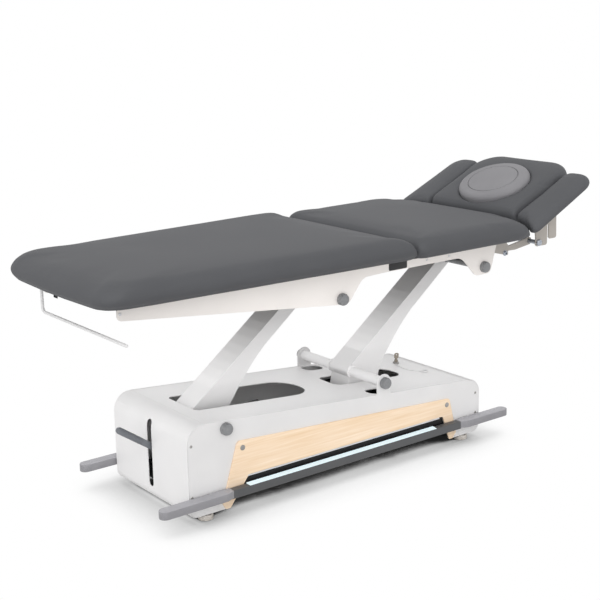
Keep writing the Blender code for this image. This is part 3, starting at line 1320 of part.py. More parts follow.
ANCHOR_X = HEAD_FACE - ANCHOR_FROM_HEAD
anchor = disc("Z", (0, 0), ANCHOR_RADIUS, SEAT_GAP, 0.007)
anchor_at = (ANCHOR_X, ANCHOR_Y, top_z(ANCHOR_X))
anchor.data.transform(Matrix.Translation(anchor_at) @ Matrix.Rotation(BASE_SLOPE, 4, "Y"))
finish(anchor, "tether_anchor", CORD)

lock_edge = LOCK_RADIUS + TETHER_RADIUS + SEAT_GAP
tether_plan = [
    (KEY_X - lock_edge * 0.75, KEY_Y - lock_edge * 0.70),
    (KEY_X - 0.021, KEY_Y - 0.028),
    (KEY_X - 0.031, KEY_Y - 0.070),
    (KEY_X - 0.026, KEY_Y - 0.108),
    (ANCHOR_X - 0.015, ANCHOR_Y + 0.018),
    (ANCHOR_X - ANCHOR_RADIUS - TETHER_RADIUS - SEAT_GAP, ANCHOR_Y + 0.002),
]


def smooth_path(points, steps):
    """Points along a curve that runs through all the points given."""
    ends = [points[0]] + list(points) + [points[-1]]
    made = []
    for i in range(1, len(ends) - 2):
        before, here, ahead, after = [Vector(p) for p in ends[i - 1 : i + 3]]
        for k in range(steps):
            t = k / steps
            made.append(
                0.5
                * (
                    2 * here
                    + (ahead - before) * t
                    + (2 * before - 5 * here + 4 * ahead - after) * t * t
                    + (3 * here - before - 3 * ahead + after) * t * t * t
                )
            )
    made.append(Vector(points[-1]))
    return made


curve = bpy.data.curves.new("tether", "CURVE")
curve.dimensions = "3D"
curve.bevel_depth = TETHER_RADIUS
curve.bevel_resolution = 2
curve.use_fill_caps = True
curve.materials.append(CORD)
spline = curve.splines.new("POLY")
path = smooth_path(tether_plan, 6)
spline.points.add(len(path) - 1)
lift = (TETHER_RADIUS + SEAT_GAP) / math.cos(BASE_SLOPE)
for point, at in zip(spline.points, path):
    point.co = (at.x, at.y, top_z(at.x) + lift, 1)
tether = bpy.data.objects.new("tether", curve)
bpy.context.scene.collection.objects.link(tether)
pieces["tether"] = tether

# The part's origin lies on the floor under the middle of its length
bpy.context.view_layer.update()
ends = []
for piece in pieces.values():
    for corner in piece.bound_box:
        ends.append((piece.matrix_world @ Vector(corner)).x)
middle = (min(ends) + max(ends)) / 2
for piece in pieces.values():
    piece.location.x -= middle
bpy.context.view_layer.update()
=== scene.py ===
import math

import bmesh
import bpy
import numpy as np
from mathutils import Matrix, Vector


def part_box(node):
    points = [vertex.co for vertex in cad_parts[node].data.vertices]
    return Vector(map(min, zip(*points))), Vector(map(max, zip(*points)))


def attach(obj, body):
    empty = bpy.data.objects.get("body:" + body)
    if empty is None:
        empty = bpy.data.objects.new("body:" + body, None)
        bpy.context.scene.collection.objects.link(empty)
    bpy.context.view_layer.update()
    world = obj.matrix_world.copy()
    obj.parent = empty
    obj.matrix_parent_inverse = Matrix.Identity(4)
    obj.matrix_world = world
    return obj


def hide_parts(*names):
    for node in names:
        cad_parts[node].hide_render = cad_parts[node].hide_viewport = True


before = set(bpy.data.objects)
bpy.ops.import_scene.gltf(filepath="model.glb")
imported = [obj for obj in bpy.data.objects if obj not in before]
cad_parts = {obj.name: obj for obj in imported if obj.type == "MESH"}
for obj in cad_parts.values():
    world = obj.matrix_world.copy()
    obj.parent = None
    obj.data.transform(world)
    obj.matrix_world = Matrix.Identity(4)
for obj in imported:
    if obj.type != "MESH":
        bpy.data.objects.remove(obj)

scene = bpy.context.scene
scene.view_settings.view_transform = "Standard"
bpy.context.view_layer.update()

# Camera: a long lens at the foot end, some four metres off and well above the lying surface.
# Its picture is square, 600 by 600, and it looks down by about fourteen degrees.
STAND = Vector((-2.58803, -3.21625, 1.577))
TO_RIGHT = Vector((0.79149729, -0.61094378, -0.01672531))
TO_TOP = Vector((0.15907071, 0.1795041, 0.97081141))
AHEAD = Vector((0.59010893, 0.77105511, -0.23926027))
camera_data = bpy.data.cameras.new("photo_camera")
camera_data.sensor_width = 36.0
camera_data.lens = 73.4526
camera = bpy.data.objects.new("photo_camera", camera_data)
camera.matrix_world = Matrix((TO_RIGHT, TO_TOP, -AHEAD)).transposed().to_4x4()
camera.location = STAND
scene.collection.objects.link(camera)
scene.camera = camera

# Key tether: a thin white cord of plastic-coated wire, seen from end to end on the base's top.
# It leaves the lock, lies slack in one bow and is caught under a small round anchor button.
CORD_RADIUS = 0.001
CORD_LIFT = 0.0013044
CORD_PLAN = [
    (0.381995, 0.07869), (0.37097, 0.060), (0.36097, 0.018),
    (0.36597, -0.020), (0.38497, -0.045), (0.38917, -0.061),
]


def screen_tone(red, green, blue):
    """A tone as a screen shows it, 0 to 255, made linear."""
    parts = [value / 255 for value in (red, green, blue)]
    return [p / 12.92 if p <= 0.04045 else ((p + 0.055) / 1.055) ** 2.4 for p in parts] + [1.0]


def surface(name, deep, pale, cloud, rough, grain, relief, metal=0.0, stretch=(1, 1, 1), cells=False):
    """A finish: clouds of two near tones, a gloss that wanders with them and a fine raised grain."""
    look = bpy.data.materials.new(name)
    look.use_nodes = True
    nodes, links = look.node_tree.nodes, look.node_tree.links
    shader = nodes["Principled BSDF"]
    shader.inputs["Metallic"].default_value = metal
    place = nodes.new("ShaderNodeTexCoord")
    stretched = nodes.new("ShaderNodeMapping")
    stretched.inputs["Scale"].default_value = stretch
    links.new(place.outputs["Object"], stretched.inputs["Vector"])
    clouds = nodes.new("ShaderNodeTexNoise")
    clouds.inputs["Scale"].default_value = cloud
    clouds.inputs["Detail"].default_value = 5.0
    links.new(stretched.outputs["Vector"], clouds.inputs["Vector"])
    tones = nodes.new("ShaderNodeValToRGB")
    tones.color_ramp.elements[0].position = 0.32
    tones.color_ramp.elements[0].color = screen_tone(*deep)
    tones.color_ramp.elements[1].position = 0.68
    tones.color_ramp.elements[1].color = screen_tone(*pale)
    links.new(clouds.outputs["Fac"], tones.inputs["Fac"])
    links.new(tones.outputs["Color"], shader.inputs["Base Color"])
    gloss = nodes.new("ShaderNodeMapRange")
    gloss.inputs["From Min"].default_value = 0.3
    gloss.inputs["From Max"].default_value = 0.7
    gloss.inputs["To Min"].default_value = rough[0]
    gloss.inputs["To Max"].default_value = rough[1]
    links.new(clouds.outputs["Fac"], gloss.inputs["Value"])
    links.new(gloss.outputs["Result"], shader.inputs["Roughness"])
    raised = nodes.new("ShaderNodeTexVoronoi" if cells else "ShaderNodeTexNoise")
    raised.inputs["Scale"].default_value = grain
    links.new(stretched.outputs["Vector"], raised.inputs["Vector"])
    bump = nodes.new("ShaderNodeBump")
    bump.inputs["Strength"].default_value = 0.3
    bump.inputs["Distance"].default_value = relief
    links.new(raised.outputs["Distance" if cells else "Fac"], bump.inputs["Height"])
    links.new(bump.outputs["Normal"], shader.inputs["Normal"])
    return look


def fit(piece, body, slot, look, *nodes):
    """Gives a piece its finish, seats it on its body and lets it stand for the solids named."""
    piece.data.materials.clear()
    piece.data.materials.append(look)
    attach(piece, body)
    if nodes:
        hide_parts(*nodes)
    return piece


TOP_FOOT_X, TOP_FOOT_HIGH, TOP_FALL = -0.740033, 0.3247, 0.082412


def base_top(x):
    """Height of the base's sloping top."""
    return TOP_FOOT_HIGH - (x - TOP_FOOT_X) * TOP_FALL


def bow(points, steps):
    """Points on one smooth line through all the points given."""
    ends = [points[0], *points, points[-1]]
    made = []
    for i in range(1, len(ends) - 2):
        before, here, ahead, after = (Vector(p) for p in ends[i - 1 : i + 3])
        for k in range(steps):
            t = k / steps
            made.append(0.5 * (2 * here + (ahead - before) * t
                               + (2 * before - 5 * here + 4 * ahead - after) * t * t
                               + (3 * here - before - 3 * ahead + after) * t * t * t))
    return made + [Vector(points[-1])]


cord_path = [Vector((p.x, p.y, base_top(p.x) + CORD_LIFT)) for p in bow(CORD_PLAN, 6)]
cord_curve = bpy.data.curves.new("key_cord", "CURVE")
cord_curve.dimensions = "3D"
cord_curve.bevel_depth = CORD_RADIUS
cord_curve.bevel_resolution = 3
cord_curve.use_fill_caps = True
cord_line = cord_curve.splines.new("POLY")
cord_line.points.add(len(cord_path) - 1)
for point, at in zip(cord_line.points, cord_path):
    point.co = (*at, 1.0)
key_cord = bpy.data.objects.new("key_cord", cord_curve)
scene.collection.objects.link(key_cord)
cord_plastic = surface("cord_plastic", (226, 226, 226), (240, 240, 240), 300, (0.5, 0.65), 1800, 0.0002)
fit(key_cord, "base", "white_cord", cord_plastic, "tether")

# Floor: one wide white sheet under the table, pale enough to fade into the background.
# To the camera it glows white, with painted shadow where the base and the switch bars stand close over it.
FLOOR_HALF, FLOOR_Z = 14.0, -0.0004
floor_mesh = bpy.data.meshes.new("floor")
floor_mesh.from_pydata(
    [(x * FLOOR_HALF, y * FLOOR_HALF, FLOOR_Z) for x, y in ((-1, -1), (1, -1), (1, 1), (-1, 1))],
    [], [(0, 1, 2, 3)])
floor = bpy.data.objects.new("floor", floor_mesh)
scene.collection.objects.link(floor)


def seen_by_eye(nodes, links):
    """1 for rays from the camera, also by way of a mirror or glass, and 0 for the rest."""
    path = nodes.new("ShaderNodeLightPath")
    socket = path.outputs["Is Camera Ray"]
    for word in ("Is Glossy Ray", "Is Transmission Ray"):
        either = nodes.new("ShaderNodeMath")
        either.operation = "MAXIMUM"
        links.new(socket, either.inputs[0])
        links.new(path.outputs[word], either.inputs[1])
        socket = either.outputs["Value"]
    return socket


floor_sheet = bpy.data.materials.new("floor_sheet")
floor_sheet.use_nodes = True
nodes, links = floor_sheet.node_tree.nodes, floor_sheet.node_tree.links
nodes.remove(nodes["Principled BSDF"])
paper = nodes.new("ShaderNodeBsdfDiffuse")
paper.inputs["Color"].default_value = (0.8, 0.8, 0.8, 1.0)
# Painted shadow: occlusion near and far turns the floor's white glow darker under and beside the table.
CLOSE_SHADE = (
    (0.0, 0.02), (0.10, 0.12), (0.20, 0.30), (0.36, 0.52), (0.46, 0.62), (0.66, 0.82), (0.74, 0.94),
    (0.86, 1.0),
)
WIDE_SHADE = (
    (0.0, 0.01), (0.09, 0.015), (0.11, 0.08), (0.14, 0.42), (0.18, 0.70), (0.26, 0.92), (0.36, 1.0),
)
shades = []
for reach, rays, stops in ((0.26, 16, CLOSE_SHADE), (1.0, 64, WIDE_SHADE)):
    near = nodes.new("ShaderNodeAmbientOcclusion")
    near.samples = rays
    near.inputs["Distance"].default_value = reach
    shade = nodes.new("ShaderNodeValToRGB")
    for stop, grey in stops:
        mark = shade.color_ramp.elements[0] if stop == 0.0 else shade.color_ramp.elements.new(stop)
        mark.color = (grey, grey, grey, 1.0)
    shade.color_ramp.elements[-1].color = (1.0, 1.0, 1.0, 1.0)
    links.new(near.outputs["AO"], shade.inputs["Fac"])
    shades.append(shade)
darker = nodes.new("ShaderNodeMix")
darker.data_type = "RGBA"
darker.blend_type = "DARKEN"
darker.inputs["Factor"].default_value = 1.0
links.new(shades[0].outputs["Color"], darker.inputs["A"])
links.new(shades[1].outputs["Color"], darker.inputs["B"])
shine = nodes.new("ShaderNodeEmission")
links.new(darker.outputs["Result"], shine.inputs["Color"])
both = nodes.new("ShaderNodeMixShader")
links.new(seen_by_eye(nodes, links), both.inputs["Fac"])
links.new(paper.outputs["BSDF"], both.inputs[1])
links.new(shine.outputs["Emission"], both.inputs[2])
links.new(both.outputs["Shader"], nodes["Material Output"].inputs["Surface"])
floor_mesh.materials.append(floor_sheet)

# Light: a white room with one very broad soft lamp high on the left and a low pair at the front.
# Flat panels under the tabletop stand for the light that white surroundings throw back. Each lights only
# the pieces gathered in its collection, and the side lamp leaves out the lift arms.
ROOM_LEVEL = 0.72
room = bpy.data.worlds.new("room")
room.use_nodes = True
scene.world = room
nodes, links = room.node_tree.nodes, room.node_tree.links
level = nodes.new("ShaderNodeMapRange")
level.inputs["To Min"].default_value = ROOM_LEVEL
level.inputs["To Max"].default_value = 1.0
links.new(seen_by_eye(nodes, links), level.inputs["Value"])
nodes["Background"].inputs["Color"].default_value = (1.0, 1.0, 1.0, 1.0)
links.new(level.outputs["Result"], nodes["Background"].inputs["Strength"])
for name, power, spread, towards in (
    ("high_lamp", 0.55, 65, (0.50, 0.38, -0.90)),
    ("low_lamp", 0.48, 50, (0.62, 0.68, -0.25)),
    ("side_lamp", 0.40, 50, (0.62, 0.68, -0.25)),
):
    lamp = bpy.data.lights.new(name, "SUN")
    lamp.energy = power
    lamp.angle = math.radians(spread)
    stand = bpy.data.objects.new(name, lamp)
    stand.rotation_euler = Vector(towards).to_track_quat("-Z", "Y").to_euler()
    scene.collection.objects.link(stand)
side_dark = bpy.data.collections.new("side_dark")
stand.light_linking.receiver_collection = side_dark
panel_lit = bpy.data.collections.new("panel_lit")
front_lit = bpy.data.collections.new("front_lit")
pedal_lit = bpy.data.collections.new("pedal_lit")
PANELS = [
    ("foot_panel", 0.42, 0.25, 0.70, (-1.04, 0.0, 0.52), (0.28, 0.0, -0.19)),
    ("front_panel", 0.95, 1.40, 0.25, (-0.11, -0.62, 0.55), (0.0, 0.40, 0.0)),
    ("pedal_panel", 11.0, 1.70, 0.90, (-0.11, 0.0, 0.58), (0.0, 0.0, -1.0)),
]
for step in range(10):
    at = (-0.07, 0.0, 0.34 + 0.022 * step)
    PANELS.append((f"under_panel_{step}", 0.142, 1.25, 0.50, at, (0.0, 0.0, -1.0)))
for name, power, long, wide, at, towards in PANELS:
    panel = bpy.data.lights.new(name, "AREA")
    panel.shape = "RECTANGLE"
    panel.size, panel.size_y = long, wide
    panel.energy = power
    stand = bpy.data.objects.new(name, panel)
    stand.location = at
    stand.rotation_euler = Vector(towards).to_track_quat("-Z", "Y").to_euler()
    stand.visible_camera = stand.visible_glossy = False
    lit = {"front_panel": front_lit, "pedal_panel": pedal_lit}.get(name, panel_lit)
    stand.light_linking.receiver_collection = lit
    scene.collection.objects.link(stand)

# Chassis: welded steel rails, cross bars, guides and lugs, coated dark grey, hidden in the base.
# Only the lever slot and the openings of the top give a glimpse of it.
dark_coat = surface("dark_coat", (30, 31, 33), (40, 42, 44), 40, (0.42, 0.55), 900, 0.0002)


def set_shader(look, socket, value):
    """Sets one plain value of a finish."""
    look.node_tree.nodes["Principled BSDF"].inputs[socket].default_value = value


set_shader(dark_coat, "Specular IOR Level", 0.12)


def refined(node, name, body, slot, look, edge, steps=2, crease=32):
    """A solid's own form with its flat faces made whole, its edges rounded and its curves smooth."""
    work = bmesh.new()
    work.from_mesh(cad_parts[node].data)
    bmesh.ops.remove_doubles(work, verts=work.verts, dist=2e-6)
    bmesh.ops.dissolve_limit(work, angle_limit=math.radians(0.4), verts=work.verts, edges=work.edges)
    bmesh.ops.recalc_face_normals(work, faces=work.faces)
    mesh = bpy.data.meshes.new(name)
    work.to_mesh(mesh)
    work.free()
    mesh.shade_smooth()
    mesh.set_sharp_from_angle(angle=math.radians(crease))
    piece = bpy.data.objects.new(name, mesh)
    scene.collection.objects.link(piece)
    if edge > 0:
        rounding = piece.modifiers.new("rounding", "BEVEL")
        rounding.width = edge
        rounding.segments = steps
        rounding.limit_method = "ANGLE"
        rounding.angle_limit = math.radians(crease)
        rounding.harden_normals = True
    return fit(piece, body, slot, look, node)


refined("chassis", "chassis.coated", "base", "dark_coating", dark_coat, 0.0012)

# Levelling feet: four turned pads of pale plastic, each screwed into a rail.
# Straight sides with a rounded foot edge and a small step under the rail.
FOOT_TURNING = [
    (0.0000, 0.0000), (0.0000, 0.0225), (0.0008, 0.0240), (0.0022, 0.0246), (0.0160, 0.0240),
    (0.0178, 0.0228), (0.0182, 0.0150), (0.0184, 0.0102), (0.0236, 0.0100), (0.0236, 0.0000),
]
pale_plastic = surface("pale_plastic", (196, 189, 181), (212, 206, 199), 60, (0.48, 0.6), 700, 0.0003)


def turned(profile, at, way, sides=40):
    """A turned part: its (height, radius) profile carried round an axis from a point."""
    way = Vector(way).normalized()
    across = way.orthogonal().normalized()
    beside = way.cross(across)
    verts, faces, rings = [], [], []
    for height, radius in profile:
        centre = Vector(at) + way * height
        if radius <= 0:
            rings.append([len(verts)] * sides)
            verts.append(centre)
            continue
        rings.append(list(range(len(verts), len(verts) + sides)))
        for i in range(sides):
            turn = 2 * math.pi * i / sides
            verts.append(centre + (across * math.cos(turn) + beside * math.sin(turn)) * radius)
    for low, high in zip(rings, rings[1:]):
        for i in range(sides):
            j = (i + 1) % sides
            corners = list(dict.fromkeys((low[i], low[j], high[j], high[i])))
            if len(corners) > 2:
                faces.append(corners)
    return verts, faces


def built(name, parts, crease=32):
    """One object from lists of points and faces."""
    verts, faces = [], []
    for more_verts, more_faces in parts:
        start = len(verts)
        verts += more_verts
        faces += [[start + i for i in face] for face in more_faces]
    work = bmesh.new()
    points = [work.verts.new(v) for v in verts]
    for face in faces:
        work.faces.new([points[i] for i in face])
    bmesh.ops.recalc_face_normals(work, faces=work.faces)
    mesh = bpy.data.meshes.new(name)
    work.to_mesh(mesh)
    work.free()
    mesh.shade_smooth()
    mesh.set_sharp_from_angle(angle=math.radians(crease))
    piece = bpy.data.objects.new(name, mesh)
    scene.collection.objects.link(piece)
    return piece


for node in ("foot_foot_front", "foot_foot_back", "foot_head_front", "foot_head_back"):
    low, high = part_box(node)
    middle = (low + high) / 2
    foot = built(node + ".turned", [turned(FOOT_TURNING, (middle.x, middle.y, low.z), (0, 0, 1))])
    fit(foot, "base", "pale_plastic", pale_plastic, node)

# Castor lift: two sliding steel beams with forks, four rubber-tyred wheels and a pedal lever.
# The lever is a dark flat bar that ends in a thicker round grip; it comes out of the end slot.
for end in ("foot", "head"):
    node = "castor_beam_" + end
    refined(node, node + ".coated", "castor_" + end, "dark_coating", dark_coat, 0.001)
WHEEL_TURNING = [
    (-0.0160, 0.0000), (-0.0160, 0.0036), (-0.0095, 0.0040), (-0.0085, 0.0130), (-0.0085, 0.0190),
    (-0.0090, 0.0200), (-0.0090, 0.0270), (-0.0070, 0.0292), (-0.0030, 0.0300), (0.0030, 0.0300),
    (0.0070, 0.0292), (0.0090, 0.0270), (0.0090, 0.0200), (0.0085, 0.0190), (0.0085, 0.0130),
    (0.0095, 0.0040), (0.0160, 0.0036), (0.0160, 0.0000),
]
tyre_rubber = surface("tyre_rubber", (34, 34, 35), (46, 46, 47), 90, (0.7, 0.85), 500, 0.0004)
for end in ("foot", "head"):
    for side in ("front", "back"):
        node = f"castor_wheel_{end}_{side}"
        low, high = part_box(node)
        wheel = built(node + ".turned", [turned(WHEEL_TURNING, (low + high) / 2, (0, 1, 0), 48)])
        fit(wheel, f"wheel_{end}_{side}", "rubber", tyre_rubber, node)
lever_coat = surface("lever_coat", (112, 115, 121), (120, 123, 128), 30, (0.42, 0.52), 900, 0.0002)
refined("castor_lever", "castor_lever.coated", "lever", "dark_coating", lever_coat, 0.0016, 3)
LEVER_ANGLE = math.radians(35)
GRIP_START, GRIP_END, GRIP_RADIUS = 0.158, 0.2562, 0.0112
lever_pivot = Vector((-0.643033, 0.0, 0.135))
lever_way = Vector((-math.cos(LEVER_ANGLE), 0, math.sin(LEVER_ANGLE)))
grip_length = GRIP_END - GRIP_START
GRIP_TURNING = [
    (0.000, 0.0000), (0.000, 0.0096), (0.003, GRIP_RADIUS), (grip_length - 0.010, GRIP_RADIUS),
    (grip_length - 0.006, 0.0104), (grip_length - 0.003, 0.0088), (grip_length - 0.001, 0.0060),
    (grip_length, 0.0030), (grip_length, 0.0000),
]
lever_grip = built("lever_grip", [turned(GRIP_TURNING, lever_pivot + lever_way * GRIP_START, lever_way)])
fit(lever_grip, "lever", "dark_coating", lever_coat)

# Lift drive and its electrics: a black motor housing with its push rod and a control box.
# They sit under the top cover, bolted to the chassis and to the back side plate.
black_plastic = surface("black_plastic", (24, 24, 26), (34, 34, 36), 80, (0.45, 0.6), 600, 0.0003)
plain_steel = surface("plain_steel", (150, 151, 154), (176, 177, 180), 30, (0.28, 0.42), 500, 0.0001,
                      metal=0.9, stretch=(1, 12, 1))
refined("lift_motor_housing", "lift_motor_housing.moulded", "base", "black_plastic", black_plastic, 0.003, 3)
refined("control_box", "control_box.moulded", "base", "black_plastic", black_plastic, 0.004, 3)
refined("lift_motor_rod", "lift_motor_rod.ground", "lift_rod", "steel", plain_steel, 0.001)

# Base housing: bent and laser-cut steel sheet under a smooth, slightly satin white powder coat.
# Two side plates with ears, a sloping top with openings for the arms, and two wrapped end covers.
white_powder = surface("white_powder", (232, 231, 231), (237, 236, 236), 6, (0.36, 0.44), 1400, 0.00012)
for node, edge in (
    ("side_plate_front", 0.0012), ("side_plate_back", 0.0012), ("top_cover", 0.0005),
    ("end_cover_foot", 0.0010), ("end_cover_head", 0.0010),
):
    sheet = refined(node, node + ".painted", "base", "white_paint", white_powder, edge)
    if node not in ("side_plate_back", "end_cover_head"):
        panel_lit.objects.link(sheet)

# Small screws that hold the side plates, two at each end: button heads of bright steel.
# Each has a six-sided socket and sits on the sheet with a thin rim.
SIDE_SCREWS = [(-0.725, 0.258), (-0.728, 0.092), (0.499, 0.170), (0.501, 0.095)]
SIDE_FACE = 0.2236
SIDES = ((-1, "front"), (1, "back"))
bright_steel = surface("bright_steel", (158, 156, 153), (186, 184, 181), 60, (0.25, 0.38), 700, 0.0001,
                       metal=0.85)


def button_head(at, way, radius, height):
    """A screw's button head with a six-sided socket."""
    way = Vector(way)
    sides = 24
    verts, faces = turned(
        [(0, radius), (height * 0.35, radius), (height * 0.8, radius * 0.84), (height, radius * 0.6),
         (height, radius * 0.52), (height * 0.3, radius * 0.5), (height * 0.3, 0)], at, way, sides)
    for ring, level in ((4, height), (5, height * 0.3)):
        centre = Vector(at) + way * level
        for i in range(ring * sides, (ring + 1) * sides):
            turn = math.radians((360 * (i % sides) / sides) % 60 - 30)
            verts[i] = centre + (verts[i] - centre) * (math.cos(math.radians(30)) / math.cos(turn))
    return verts, faces


for side, word in SIDES:
    heads = [button_head((x, side * SIDE_FACE, z), (0, side, 0), 0.0047, 0.0018) for x, z in SIDE_SCREWS]
    fit(built("side_screws_" + word, heads), "base", "steel", bright_steel)

# Lower axles: steel shafts right through the base, each closed by a grey cap on either side.
# The caps are turned and have a small step round their rim.
axle_grey = surface("axle_grey", (132, 133, 135), (146, 147, 149), 80, (0.4, 0.5), 900, 0.0002)


def capped_axle(node, body):
    """An axle with its two stepped end caps, turned in one with it."""
    low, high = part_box(node)
    middle = (low + high) / 2
    half = (high.y - low.y) / 2
    cap = 0.0190 if half < 0.245 else 0.01805
    end = [(half - cap, 0.0120), (half - cap, 0.0192), (half - cap + 0.0008, 0.0200), (half - 0.0062, 0.0200),
           (half - 0.0050, 0.0194), (half - 0.0044, 0.0182), (half - 0.0012, 0.0180), (half - 0.0003, 0.0172),
           (half, 0.0158), (half, 0.0)]
    profile = [(-height, radius) for height, radius in reversed(end)] + end
    axle = built(node + ".turned", [turned(profile, middle, (0, 1, 0), 48)])
    return fit(axle, body, "grey_axle", axle_grey, node)


capped_axle("lower_axle_foot", "base")
capped_axle("lower_axle_head", "base")

# Spacer tubes: white tubes that keep the head arm in the middle of its axle.
# Each carries a flange against the arm.
SPACER_TURNING = [
    (0.0000, 0.0124), (0.0000, 0.0218), (0.0008, 0.0228), (0.0042, 0.0228), (0.0050, 0.0218),
    (0.0054, 0.0181), (0.0062, 0.0175), (0.1680, 0.0175), (0.1680, 0.0124), (0.0000, 0.0124),
]
for side, word in SIDES:
    node = "spacer_tube_" + word
    low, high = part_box(node)
    start = Vector(((low.x + high.x) / 2, low.y if side > 0 else high.y, (low.z + high.z) / 2))
    tube = built(node + ".painted", [turned(SPACER_TURNING, start, (0, side, 0), 40)])
    panel_lit.objects.link(fit(tube, "base", "white_paint", white_powder, node))

# Wood panels: thin boards of pale maple on both sides of the base, notched over the switch bars.
# The grain runs along the board; two satin steel caps cover the screws that hold it.
maple = surface("maple", (240, 209, 171), (255, 233, 209), 7, (0.42, 0.55), 260, 0.00025, stretch=(0.9, 6, 9))
nodes, links = maple.node_tree.nodes, maple.node_tree.links
streaks = nodes.new("ShaderNodeTexNoise")
streaks.inputs["Scale"].default_value = 26.0
streaks.inputs["Detail"].default_value = 8.0
streaks.inputs["Distortion"].default_value = 0.4
along = nodes.new("ShaderNodeMapping")
along.inputs["Scale"].default_value = (0.16, 4.0, 5.0)
along.inputs["Rotation"].default_value = (0.0, math.radians(2.5), 0.0)
links.new(nodes["Texture Coordinate"].outputs["Object"], along.inputs["Vector"])
links.new(along.outputs["Vector"], streaks.inputs["Vector"])
figure = nodes.new("ShaderNodeMix")
figure.data_type = "FLOAT"
figure.inputs["Factor"].default_value = 0.62
links.new(nodes["Noise Texture"].outputs["Fac"], figure.inputs["A"])
links.new(streaks.outputs["Fac"], figure.inputs["B"])
links.new(figure.outputs["Result"], nodes["Color Ramp"].inputs["Fac"])
CAPS_ON_WOOD = [(-0.538, 0.212), (0.351, 0.157)]
PANEL_FACE = 0.2286
CAP_TURNING = [(0.0, 0.0088), (0.0012, 0.0088), (0.0022, 0.0080), (0.0028, 0.0062), (0.0031, 0.0)]
satin_steel = surface("satin_steel", (150, 149, 148), (176, 175, 174), 25, (0.32, 0.44), 600, 0.0001,
                      metal=0.7)
for side, word in SIDES:
    node = "wood_panel_" + word
    front_lit.objects.link(refined(node, node + ".maple", "base", "wood", maple, 0.0008))
    caps = [turned(CAP_TURNING, (x, side * PANEL_FACE, z), (0, side, 0), 32) for x, z in CAPS_ON_WOOD]
    fit(built("panel_caps_" + word, caps), "base", "steel", satin_steel)

# Light strip holders: a thin bright aluminium profile under the lower edge of each panel's notch.
# It is pressed on along the notch, and a black plastic sheet behind it closes the gap to the inside as
# painted shade, where the inside lies in shadow.
STRIP_FOOT, STRIP_HEAD = -0.5200, 0.3150
STRIP_LOW, STRIP_HIGH = 0.1115, 0.1167
bright_aluminium = surface("bright_aluminium", (214, 214, 216), (232, 232, 234), 40, (0.3, 0.42), 800, 0.0001,
                           metal=0.35, stretch=(1, 8, 8))


def skin(count, rings):
    """Faces of a closed body made of rings of points: its two ends and the walls between rings."""
    faces = [list(range(count)), list(range((rings - 1) * count, rings * count))]
    for start in range(0, (rings - 1) * count, count):
        for i in range(count):
            j = (i + 1) % count
            faces.append([start + i, start + j, start + count + j, start + count + i])
    return faces


def bar_between(outline, x_low, x_high):
    """A straight bar along the table: its (y, z) section between two places."""
    return [Vector((x, y, z)) for x in (x_low, x_high) for y, z in outline], skin(len(outline), 2)


# Painted shade: a black sheet set behind the gap so that the inside reads dark.
SHADE_SHEET_SECTION = [(0.2194, 0.0900), (0.2194, 0.1350), (0.2174, 0.1350), (0.2174, 0.0895), (0.2189, 0.0895)]
SHADE_SHEET_PAST_STRIP = 0.030
for side, word in SIDES:
    out, inner = side * 0.2292, side * 0.2246
    section = [(out, STRIP_LOW + 0.0012), (out, STRIP_HIGH), (inner, STRIP_HIGH), (inner, STRIP_LOW),
               (out - side * 0.0012, STRIP_LOW)]
    strip = built("notch_profile_" + word, [bar_between(section, STRIP_FOOT, STRIP_HEAD)])
    fit(strip, "base", "steel", bright_aluminium)
    section = [(side * y, z) for y, z in SHADE_SHEET_SECTION]
    ends = STRIP_FOOT - SHADE_SHEET_PAST_STRIP, STRIP_HEAD + SHADE_SHEET_PAST_STRIP
    shade_sheet = built("notch_shade_sheet_" + word, [bar_between(section, *ends)])
    fit(shade_sheet, "base", "black_plastic", black_plastic)

# Switch bars: long dark plastic bars that raise or lower the table when pressed or lifted by a foot.
# Light grey sleeves with rounded ends slip over both ends, and a glowing line along the top is painted light:
# it stands in for the light that falls on the bar from the strip holder above.
BAR_FOOT, BAR_HEAD = -0.861, 0.630
SLEEVE_FOOT, SLEEVE_HEAD = -0.5965, 0.393
BAR_LOW, BAR_HIGH = 0.064, 0.092
BAR_NEAR, BAR_FAR = 0.2311, 0.2586
SLEEVE_LOW, SLEEVE_HIGH = 0.0675, 0.0928
SLEEVE_NEAR, SLEEVE_FAR, SLEEVE_TAPER = 0.2307, 0.2707, 0.029
LINE_FOOT, LINE_HEAD = -0.532, 0.276
LINE_SECTION = [(0.2565, 0.0915), (0.2570, 0.0924), (0.2360, 0.0958), (0.2353, 0.0952), (0.2353, 0.0915)]
bar_plastic = surface("bar_plastic", (82, 83, 85), (87, 88, 90), 12, (0.42, 0.52), 900, 0.0002)
sleeve_plastic = surface("sleeve_plastic", (139, 138, 142), (145, 144, 148), 12, (0.42, 0.52), 900, 0.0002)
painted_light_glow = surface("painted_light_glow", (208, 228, 236), (218, 236, 242), 9, (0.4, 0.5), 400, 0.0002)
# Painted light: the line shines by itself in place of the light thrown onto the bar's top from above.
set_shader(painted_light_glow, "Emission Color", (0.80, 0.93, 1.0, 1.0))
set_shader(painted_light_glow, "Emission Strength", 0.34)


def rounded_plan(corners, steps=6):
    """A closed outline whose corners (a, b, radius) are rounded."""
    points = []
    count = len(corners)
    for i, (a, b, radius) in enumerate(corners):
        here = Vector((a, b))
        back = Vector(corners[i - 1][:2]) - here
        ahead = Vector(corners[(i + 1) % count][:2]) - here
        half = back.angle(ahead) / 2
        reach = min(radius / math.tan(half), 0.49 * back.length, 0.49 * ahead.length)
        radius = reach * math.tan(half)
        centre = here + (back.normalized() + ahead.normalized()).normalized() * (radius / math.sin(half))
        start = here + back.normalized() * reach - centre
        end = here + ahead.normalized() * reach - centre
        turn = math.atan2(start.x * end.y - start.y * end.x, start.dot(end))
        first = math.atan2(start.y, start.x)
        for k in range(steps + 1):
            angle = first + turn * k / steps
            points.append((centre.x + radius * math.cos(angle), centre.y + radius * math.sin(angle)))
    return points


